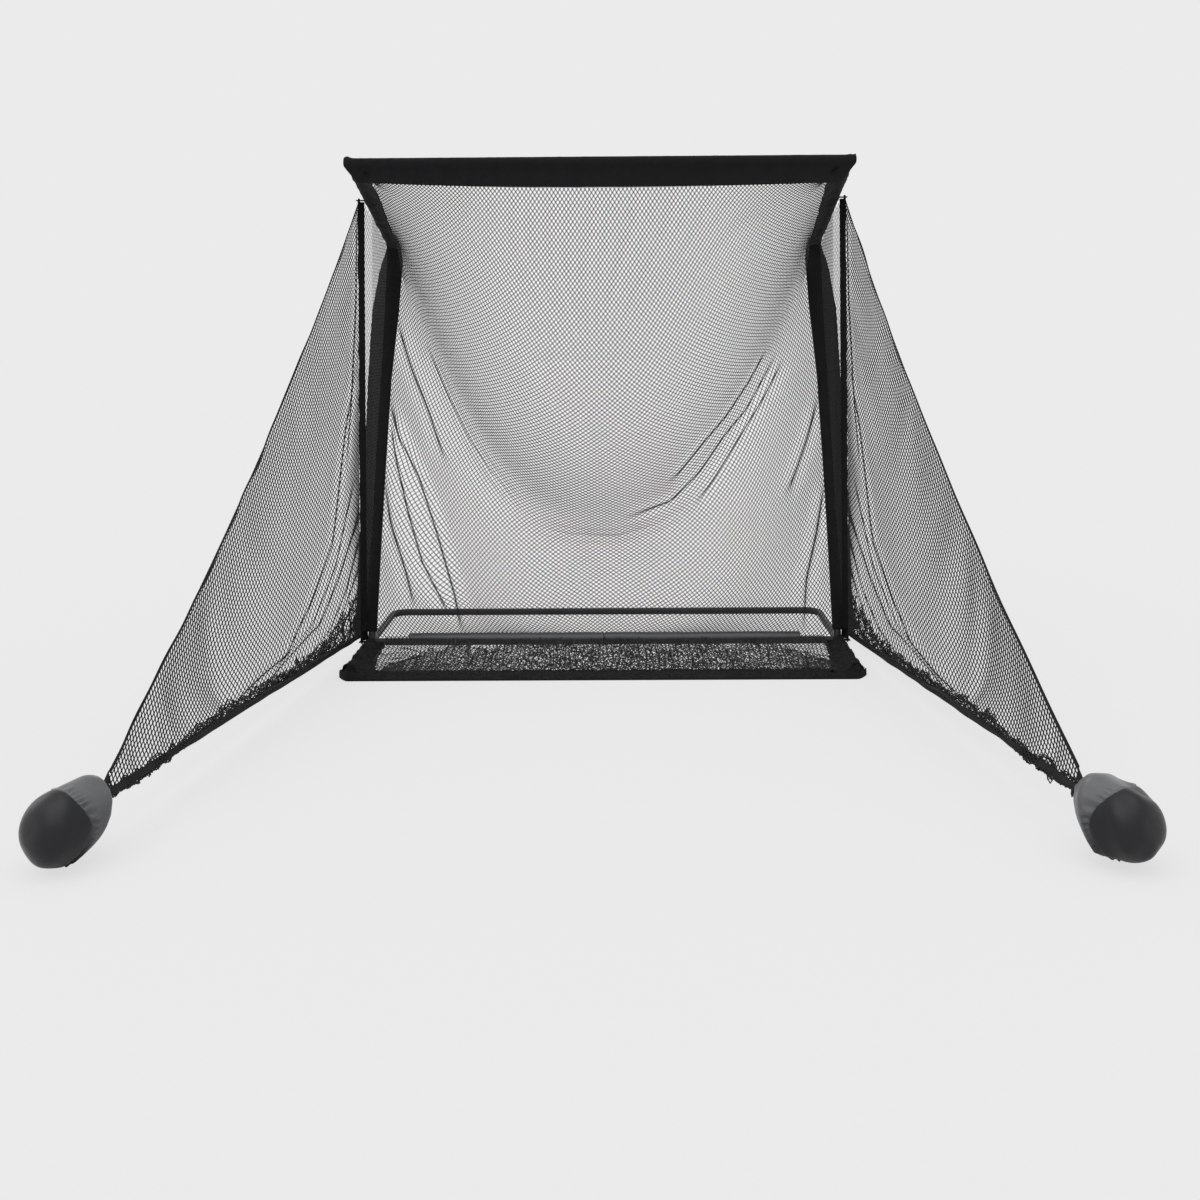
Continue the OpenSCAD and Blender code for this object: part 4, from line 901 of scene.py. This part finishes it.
# %% Floor net
def floor_net(name, seed, ends, rows, wide, heap, fade=None):
    """A net on the floor from the hem to the roll, gathered in pleats that run front to back:
    x moves by 0.31 columns * sin(pleat), which turns once in two columns and wanders. In the
    middle it heaps up. With fade, it only reaches part of the way to the roll at its ends."""
    low, high = TIPS + 0.034, TIPS + 0.470
    x0, x1 = ends
    field, bump = waves(seed, 24, 0.08, 0.5), waves(seed + 1, 24, 0.02, 0.08)

    def surface(u, v):
        loose = np.exp(-((u - 0.55) / 0.33) ** 4)
        x = x0 + (x1 - x0) * u
        if fade:
            rounded = np.sqrt((np.minimum(u, 1 - u) / 0.2).clip(0, 1))
            uneven_end = 1 + 0.25 * field(x, 0 * x) + 0.30 * bump(x * 1.2, 0 * x)
            v = v * (0.15 + fade * rounded * uneven_end).clip(0.05, 1)
        inner = np.sin(np.pi * v.clip(0, 1))
        y = low + (high - low) * v + 0.022 * field(x * 1.5 + 3, v * 0.6) * inner
        pleat = 2 * np.pi * (x / (2 * wide) + 0.25 + 0.16 * field(x * 0.7, v * 0.3))
        x = (x + 0.31 * wide * np.sin(pleat) + 0.016 * field(x * 0.8 + 9, v * 0.12) * inner
             + 0.004 * bump(x * 2, v) * loose)
        crest = 0.002 + heap * loose * np.abs(bump(x, y * 1.8))
        z = 0.003 + 0.036 * v ** 2.4 * (1 - 0.4 * loose) + crest * (1 + np.cos(pleat)) * 0.5
        return np.stack([x.clip(-0.988, 0.988), y.clip(low, high), z], -1)
    net_piece(name, knots_on(surface, int((x1 - x0) / wide), rows), (0.0016, 0.0026), UP,
              "front_net")


floor_net("floor_net_lower", 71, (-0.988, 0.988), 15, 0.0088, 0.012)
floor_net("floor_net_upper", 75, (-0.93, 0.985), 12, 0.0140, 0.020, fade=0.75)

# %% [markdown]
# ## The side barriers
# A barrier is a triangle of net. Its upright edge is a hem that turns on the hinge cord, its
# long slope is bound with webbing, and so is its foot. The net is cut larger than the
# triangle, so it hangs in slack folds and bunches on the lower edge. It is hung in the
# barrier's own plane and then turned into place, so that all of it rides on the barrier.

# %% Barrier plane
OPEN = np.radians(7.0)
HINGE = np.array([HALF_W + 0.044, LEG_Y, 0.0])
OUTWARD = np.array([np.sin(OPEN), -np.cos(OPEN), 0.0])
ASIDE = np.array([np.cos(OPEN), np.sin(OPEN), 0.0])
NET_START, NET_END, NECK_Z = 0.020, 2.152, 0.1692
SLOPE_TOP, SLOPE_LOW = np.array([NET_START, 1.9937]), np.array([NET_END, NECK_Z + 0.0375])
BOW = 0.080


def slope_line(t):
    """The slope's webbing at share t, in (s, z): a straight run bowed inward by 4 t (1 - t)
    BOW and set in by 6 mm."""
    run = SLOPE_LOW - SLOPE_TOP
    normal = np.array([-run[1], run[0]]) / np.linalg.norm(run)
    t = np.asarray(t, float)[..., None]
    return SLOPE_TOP + t * run - (4 * t * (1 - t) * BOW + 0.006) * normal


def foot_line(s):
    """Height of the foot webbing's middle at s."""
    return np.interp(s, [NET_START, NET_END], [0.036, NECK_Z - 0.0375]) + 0.014


def to_barrier(s, aside, z):
    """Points of the right barrier from its own plane: s out from the hinge, aside and up."""
    s, aside, z = np.broadcast_arrays(s, aside, z)
    return HINGE + s[..., None] * OUTWARD + aside[..., None] * ASIDE + z[..., None] * UP


print("slope middle:", slope_line(0.5).round(3))

# %% Webbing of the barriers
def ribbon_rings(path, wide, thick, width, thickness):
    """Rings of a flat band: a rounded strip, width across wide and thickness across thick."""
    angle = ring_angles(16)
    x = np.sign(np.cos(angle)) * np.abs(np.cos(angle)) ** 0.35
    y = np.sign(np.sin(angle)) * np.abs(np.sin(angle)) ** 0.35
    wide, thick = np.broadcast_to(wide, path.shape), np.broadcast_to(thick, path.shape)
    width = np.broadcast_to(width, len(path))[:, None]
    return (path[:, None] + (x[None] * width / 2)[..., None] * wide[:, None]
            + (y[None] * thickness / 2)[..., None] * thick[:, None])


def soft_piece(name, rings, material, slot, body, node_name, mirror, caps=True):
    """A closed piece from rings, which stands for a CAD node."""
    dress(skin_piece(name, rings, caps, mirror), material, slot, body, node_name)


def bind(kind, s, z, aside, width, thickness, side, mirror):
    """Webbing sewn along a line of the barrier's plane."""
    path = to_barrier(s, aside, z)
    wide = unit(np.cross(ASIDE, unit(np.gradient(path, axis=0))))
    rings = ribbon_rings(path, wide, ASIDE, width, thickness)
    soft_piece(kind + "_webbing_" + side, rings[::-1], webbing_cloth, "webbing",
               "barrier_" + side, "barrier_" + kind + "_" + side, mirror)


t = np.linspace(0, 1, 160)
for side, mirror in SIDES:
    s, z = slope_line(t).T
    bind("slope", s, z, 0.004 * waves(95 + mirror, 12, 0.2, 0.9)(s, z),
         0.008 + (0.004 if mirror else 0.010) * t ** 2, 0.0028, side, mirror)
    s = np.linspace(NET_START, NET_END, 160)
    z = foot_line(s)
    bind("foot", s, z, 0.003 * waves(97 + mirror, 12, 0.1, 0.5)(s, z), 0.024, 0.003, side, mirror)
print("webbing sewn")

# %% Hang a barrier net
BARRIER_ROWS, CORNER_ROWS, BARRIER_BAR, CROWD = 86, 4, 0.0187, 1.12
slope = slope_line(np.linspace(0, 1, 200))


def triangle_net():
    """Knots of a net cut along its own diagonal: knot (i, j) stands at s = i over all columns,
    and at the share (j / (rows - i))^CROWD of the way from the foot to the slope. The last
    corner columns are cut off. Returns even, odd, the knots that exist, and the free ones."""
    rows, last = BARRIER_ROWS, BARRIER_ROWS - CORNER_ROWS

    def place_knots(i, j):
        s = NET_START + (i / last).clip(0, 1) * (NET_END - NET_START)
        q = (j / np.maximum(rows - i, 0.5)).clip(0, 1) ** CROWD
        low, high = foot_line(s), np.interp(s, slope[:, 0], slope[:, 1])
        return np.stack([s, 0 * s, low + q * (high - low)], -1)

    i, j = np.meshgrid(np.arange(rows + 1.0), np.arange(rows + 1.0))
    live_e = (i + j <= rows) & (i <= last)
    free_e = (i + j < rows) & (i > 0) & (i < last) & (j > 0)
    even = place_knots(i, j)
    i, j = i[:-1, :-1] + 0.5, j[:-1, :-1] + 0.5
    live_o = (i + j <= rows) & (i < last)
    free_o = (i + j < rows - 0.5) & (i < last)
    return even, place_knots(i, j), live_e, live_o, free_e, free_o


def barrier_floor(s):
    """The net rests on the foot webbing, and hangs a little lower near the bag."""
    return foot_line(s) + 0.004 - 0.026 * np.clip((s - 1.55) / 0.4, 0, 1)


# Folds in the barrier's plane, in millimetres out from the hinge and up; the first two are wide
folds = [[(30, 1290), (180, 1040), (360, 530), (610, 330), (850, 210), (1450, 130)],
         [(20, 600), (300, 360), (520, 220), (930, 150), (1170, 120)],
         [(30, 360), (250, 200), (450, 120), (800, 100)],
         [(30, 1950), (50, 1550), (120, 1100), (200, 800)],
         [(100, 750), (330, 420), (600, 240), (1050, 150)],
         [(20, 280), (140, 190), (330, 120), (600, 90)],
         [(20, 200), (100, 140), (220, 90), (380, 70)],
         [(40, 470), (200, 290), (400, 170), (660, 110)]]

for side, mirror in SIDES:
    even, odd, live_e, live_o, free_e, free_o = triangle_net()
    billow = waves(81 + 10 * mirror, 20, 0.25, 1.2)
    for knots, free in ((even, free_e), (odd, free_o)):
        knots[..., 1] = 0.018 * billow(knots[..., 0], knots[..., 2]) * free
    rest = even.copy(), odd.copy()
    hang(even, odd, free_e, free_o, BARRIER_BAR, frames=90, sweeps=14,
         pull=1.0, floor=barrier_floor)
    for k, fold in enumerate(folds):
        bend = 1 if mirror else 1 + 0.12 * np.sin(k * 2.1)
        gather((even, odd), np.array([[s / 1000 * bend, 0, z / 1000] for s, z in fold]),
               0.034 if k < 2 else 0.026)
    even[~free_e], odd[~free_o] = rest[0][~free_e], rest[1][~free_o]
    net_piece("barrier_mesh_" + side, [to_barrier(*np.moveaxis(g, -1, 0)) for g in (even, odd)],
              (TWINE_R, 0.0031), mirrored(ASIDE, mirror), "barrier_net_" + side,
              "barrier_" + side, (live_e, live_o), mirror)

# %% Slack net along the barrier's foot
for side, mirror in SIDES:
    crumple, heap = waves(121 + mirror, 30, 0.04, 0.12), waves(123 + mirror, 30, 0.05, 0.25)

    def slack(u, v):
        """A narrow ruffle at share u along the foot and v up: it is 0.18 m high at the hinge,
        falls off within half a metre, and sinks below the webbing near the bag."""
        s = 0.025 + 2.115 * u
        tall = 0.030 + 0.15 * np.exp(-(s / 0.30) ** 1.4) + 0.022 * heap(s, 0 * s).clip(0)
        z = foot_line(s) - 0.030 * np.clip((s - 1.50) / 0.35, 0, 1) + tall * v ** 1.4
        rough = (0.0035 + 0.05 * tall) * (1 + np.clip((s - 1.6) / 0.3, 0, 1))
        z = z + rough * crumple(s * 1.3, v * 0.09)
        aside = 0.014 + 0.010 * crumple(s * 1.1 + 5, v * 0.11) + 0.03 * tall * heap(s, v)
        s = s + 0.006 * crumple(s + 9, v * 0.10)
        return to_barrier(s.clip(0.022, 2.15), aside, np.maximum(z, foot_line(s) - 0.055))
    net_piece("barrier_slack_" + side, knots_on(slack, 130, 7), (TWINE_R, 0.003),
              mirrored(ASIDE, mirror), "barrier_net_" + side, "barrier_" + side, mirror=mirror)

# %% [markdown]
# ## The side nets
# A net also closes the triangle between the arm, the leg and the barrier's hinge line, so that
# no ball leaves between them. It is a flat panel, sewn to the outer side of both sleeves, and
# its free front edge has a hem.

# %% Side nets
SIDE_X, SIDE_FRONT = 1.0707, TIPS + 0.498


def side_lattice(rows, columns, half):
    """Knots of a plain lattice in the panel's plane, and which of them lie inside the panel:
    above the leg's front side, and below the arm's middle, cut off round the elbow."""
    y, z = np.meshgrid(SIDE_FRONT + 0.0245 * (np.arange(columns) + half),
                       0.036 + 0.030 * (np.arange(rows) + half))
    lean = 0.014 * ((TIPS + 0.64 - y) / 0.14).clip(0, 1)
    x = SIDE_X + lean + 0.0025 * np.sin(5 * y + 3 * z) * (1 - lean / 0.014)
    leg = FOOT[2] + (y - FOOT[1] + 0.002) / np.tan(LEAN)
    elbow = np.interp(y, [TIPS + 0.984, TIPS + 1.03], [1.849, 1.762], left=9.0)
    arm = np.minimum(TOP[2] - (y - TOP[1]) * np.tan(LEAN), elbow)
    return np.stack([x, y, z], -1), (z > leg) & (z < arm)


for side, mirror in SIDES:
    even, live_e = side_lattice(68, 23, 0)
    odd, live_o = side_lattice(67, 22, 0.5)
    net_piece("side_mesh_" + side, (even, odd), (0.00095, 0.0018), ACROSS, "side_net_" + side,
              live=(live_e, live_o), mirror=mirror)
    # The hem turns out towards the hinge cord, and closes the gap beside it
    z = np.linspace(0.018, 2.003, 170)
    sway = waves(85 + mirror, 8, 0.1, 0.5)(z, 0 * z)
    path = np.stack([1.0853 + 0.0006 * sway, SIDE_FRONT + 0.0005 + 0 * z, z], 1)
    rings = ribbon_rings(path, unit(np.array([-0.90, 0.43, 0])), unit(np.array([0.43, 0.90, 0])),
                         0.0215 + 0.012 * np.exp(-((z - 0.018) / 0.06) ** 2), 0.0032)
    soft_piece("side_net_hem_" + side, rings, sleeve_cloth, "sleeve_fabric", "frame",
               "side_net_" + side, mirror)

# %% Hinge hems
z = np.linspace(0.0186, 2.0056, 200)[:, None]
angle = ring_angles(32)
turned = np.abs((angle + np.pi) % (2 * np.pi) - np.pi)
x = (0.0047 + 0.0153 * np.exp(-(turned / 0.28) ** 4)) * np.cos(angle)
pinch = 0.0045 * (0.35 + 0.65 * np.clip(turned / 1.3, 0, 1))
y = np.where(turned < np.pi / 2, pinch, 0.0047) * np.sin(angle)
for side, mirror in SIDES:
    sway = 0.0025 * waves(101 + mirror, 20, 0.05, 0.4)(z, 0 * z) * np.clip(x / 0.02, 0, 1)
    soft_piece("hinge_hem_" + side, to_barrier(x, y + sway, z), sleeve_cloth, "sleeve_fabric",
               "barrier_" + side, "barrier_hem_" + side, mirror)
print("barriers made")

# %% [markdown]
# ## Sandbags
# Each bag is a coated cloth sack: a round end panel is sewn to the side wall with a gathered
# seam, the wall narrows in puckers to the neck, and the sand makes it sit flat on the floor.
# One profile is turned round the bag's axis, and cosine waves pucker it near the seam and neck.

# %% Sandbags
BAG_R, BAG_FRONT, BAG_BACK, BAG_LIFT = 0.0985, 0.130, 0.0943, 0.070
TILT, TURN = np.radians(-19.5), np.radians(21.7)

# The bag lies on the floor, and its end panel faces out and forward
bag_out = (np.cos(TURN) * np.cos(TILT) * OUTWARD + np.sin(TURN) * np.cos(TILT) * ASIDE
           - np.sin(TILT) * UP)
bag_level = unit(np.cross(UP, bag_out))
bag_up = np.cross(bag_out, bag_level)
bag_middle = HINGE + 2.2 * OUTWARD + (NECK_Z - 0.035) * UP + BAG_BACK * bag_out - BAG_LIFT * UP


def bag_point(r, angle, z):
    """A point of the right bag: r and angle round its axis, z along it. The loop pulls the
    neck up: with q = share of the way from z = 100 mm back to the neck, a point rises by 70 mm *
    q^1.2, and less low down, where the sand holds it on the floor."""
    r, angle, z = np.broadcast_arrays(r, angle, z)
    q = ((0.10 - z) / (0.10 + BAG_BACK)).clip(0, 1.1)
    lift = BAG_LIFT * q ** 1.2 * (q ** 2 + (1 - q ** 2) * (1 + np.sin(angle)) / 2)
    return (bag_middle + (r * np.cos(angle))[..., None] * bag_level
            + (r * np.sin(angle))[..., None] * bag_up + z[..., None] * bag_out
            + lift[..., None] * UP)


def bag_outline(steps, inset=0.0):
    """Outline r, z for a turn t from the end panel to the neck. The front is z = 130 mm *
    cos(t)^0.83 and r = 98.5 mm * sin(t)^0.63, a full drum, and the back closes to the neck."""
    t = np.pi * 0.985 * np.linspace(0, 1, steps) ** 1.3
    c, s, front = np.cos(t), np.sin(t), t < np.pi / 2
    z = np.where(front, BAG_FRONT * np.abs(c) ** 0.83, -BAG_BACK * np.abs(c))
    r = BAG_R * s ** np.where(front, 0.63, 0.72)
    return t[:, None], (r * (1 - inset / BAG_R))[:, None], (z * (1 - inset / BAG_R))[:, None]


for side, mirror in SIDES:
    angle = ring_angles(180)
    t, r, z = bag_outline(130)
    # The seam sits further forward on top, because the neck pulls the side wall up there
    past = t - (1.55 - 0.52 * np.sin(angle).clip(0, 1) ** 1.5)
    behind = np.exp(-((past - 0.08) / 0.11) ** 2) * (past > 0)
    noise_round = 1.5 * np.sin(2 * angle + mirror) + 0.9 * np.sin(5 * angle + 2)
    at_seam = np.cos(26 * angle + 4 * noise_round) * (1 + 0.5 * np.sin(3 * angle + noise_round))
    at_neck = np.clip((t - 2.3) / 0.7, 0, 1) * np.cos(13 * angle + noise_round + t) * r / BAG_R
    dent = -0.0055 * np.exp(-((past - 0.005) / 0.024) ** 2)
    swell = waves(111 + mirror, 20, 0.06, 0.3)(t * 0.10, 0.1 * np.cos(angle)) * np.sin(t)
    wall = r + dent + 0.0040 * behind * at_seam + 0.0055 * at_neck + 0.007 * swell
    points = bag_point(wall, angle, z + 0.3 * dent)
    points[..., 2] = np.maximum(points[..., 2], 0.0004)
    thing = skin_piece("sandbag_cloth_" + side, points, mirror=mirror)
    thicken(thing, 0.0015)
    dress(thing, bag_cloth, "bag_fabric", "barrier_" + side, "sandbag_" + side)
    # Painted shade: the attribute "panel" is 1 on the end panel; on the side wall it is 0 on top,
    # half on the sides and 1 underneath
    dark = np.maximum((-past / 0.02).clip(0, 1), (0.50 - 0.60 * np.sin(angle)).clip(0, 1))
    panel = thing.data.attributes.new("panel", "FLOAT", "POINT")
    panel.data.foreach_set("value", dark.ravel().astype(np.float32))
    tidy_points(thing)
    # The sand inside follows the bag, and is level on top
    _, r, z = bag_outline(40, 0.014)
    points = bag_point(r, ring_angles(48), z)
    points[..., 2] = points[..., 2].clip(0.004, 0.150)
    soft_piece("sand_fill_" + side, points[1:], sand_grains, "sand", "barrier_" + side,
               "sand_" + side, mirror)
print("sandbags made")

# %% Loops, cords and ties
TONGUE = [2.1505, 2.192]
s = np.linspace(*TONGUE, 8)
path = to_barrier(s, 0, np.interp(s, TONGUE, [NECK_Z, NECK_Z - 0.014]))
tongue = ribbon_rings(path, UP, ASIDE, 2 * np.interp(s, TONGUE, [0.037, 0.018]), 0.003)
loop_r = np.array([0.0225, 0.0255, 0.0265, 0.0235, 0.021, 0.020, 0.020, 0.0205, 0.0225])
loop_z = np.array([-0.004, -0.001, 0.006, 0.009, 0.009, 0.006, -0.001, -0.004, -0.004])
loop = bag_point(loop_r[:, None], ring_angles(48), -BAG_BACK - loop_z[:, None])
# The hinge cord is thicker at a knot near each end
z = np.linspace(0.0062, 2.018, 400)[:, None]
radius = 0.0025 + 0.0035 * sum(np.exp(-((z - stop) / 0.003) ** 4) for stop in (0.010, 2.0142))
angle = ring_angles(12)
cord = np.stack([HINGE[0] + radius * np.cos(angle), HINGE[1] + radius * np.sin(angle),
                 z + 0 * angle], -1)
for side, mirror in SIDES:
    loop_of = (webbing_cloth, "webbing", "barrier_" + side, "bag_loop_" + side, mirror)
    soft_piece("bag_loop_" + side, loop, *loop_of, caps=False)
    # A flat tongue joins the net's corner to the loop
    soft_piece("bag_tongue_" + side, tongue[::-1], *loop_of)
    soft_piece("hinge_cord_braid_" + side, cord, cord_braid, "cord", "frame",
               "hinge_cord_" + side, mirror)

# %% [markdown]
# ## Floor, light and background
# The floor is plain and pale. A soft sky and one wide lamp light the net evenly, so a colour
# renders about as it is written, and the camera sees the same pale tone behind everything.

# %% Stage
SIZE, PALE = 40.0, (0.831, 0.831, 0.831, 1)
corners = [(-SIZE, -SIZE), (SIZE, -SIZE), (SIZE, SIZE), (-SIZE, SIZE)]
floor = new_mesh("studio_floor", [[x, y, -0.0005] for x, y in corners], [[0, 1, 2, 3]],
                 smooth=False)
paper, tree, shader = new_finish("studio_paper", 1.0, Specular_IOR_Level=0.0)
shader.inputs["Base Color"].default_value = (0.83, 0.83, 0.83, 1)
glow = node(tree, "Emission", [("Color", PALE), ("Strength", 1.0)])
seen = maths(tree, "MULTIPLY", node(tree, "LightPath").outputs["Is Camera Ray"], 0.8)
blend = node(tree, "MixShader", [(0, seen), (1, shader.outputs[0]), (2, glow.outputs[0])])
tree.links.new(blend.outputs[0], tree.nodes["Material Output"].inputs[0])
floor.data.materials.append(paper)

world = bpy.data.worlds.new("studio")
bpy.context.scene.world = world
world.use_nodes = True
tree = world.node_tree
light = tree.nodes["Background"]
light.inputs["Color"].default_value, light.inputs["Strength"].default_value = (1, 1, 1, 1), 0.6
pale = node(tree, "Background", [("Color", PALE), ("Strength", 1.0)])
ray = node(tree, "LightPath").outputs
seen = maths(tree, "MAXIMUM", ray["Is Camera Ray"], ray["Is Glossy Ray"])
seen = maths(tree, "MAXIMUM", seen, ray["Is Transmission Ray"])
choose = node(tree, "MixShader", [(0, seen), (1, light.outputs[0]), (2, pale.outputs[0])])
tree.links.new(choose.outputs[0], tree.nodes["World Output"].inputs[0])

lamp_data = bpy.data.lights.new("wide_lamp", "SUN")
lamp_data.energy, lamp_data.angle = 1.3, np.radians(70.0)
lamp = bpy.data.objects.new("wide_lamp", lamp_data)
bpy.context.scene.collection.objects.link(lamp)
lamp.rotation_euler = (np.radians(20.0), np.radians(-10.0), 0.0)
print("stage and lamp set")

# %% [markdown]
# ## What each sheet was cut to
# A sleeve was a strip as long as its tube and as wide as its girth. The floor net is cut 3.23 m
# wide, and gathered to the 1.98 m between the base tubes.


print("scene built")
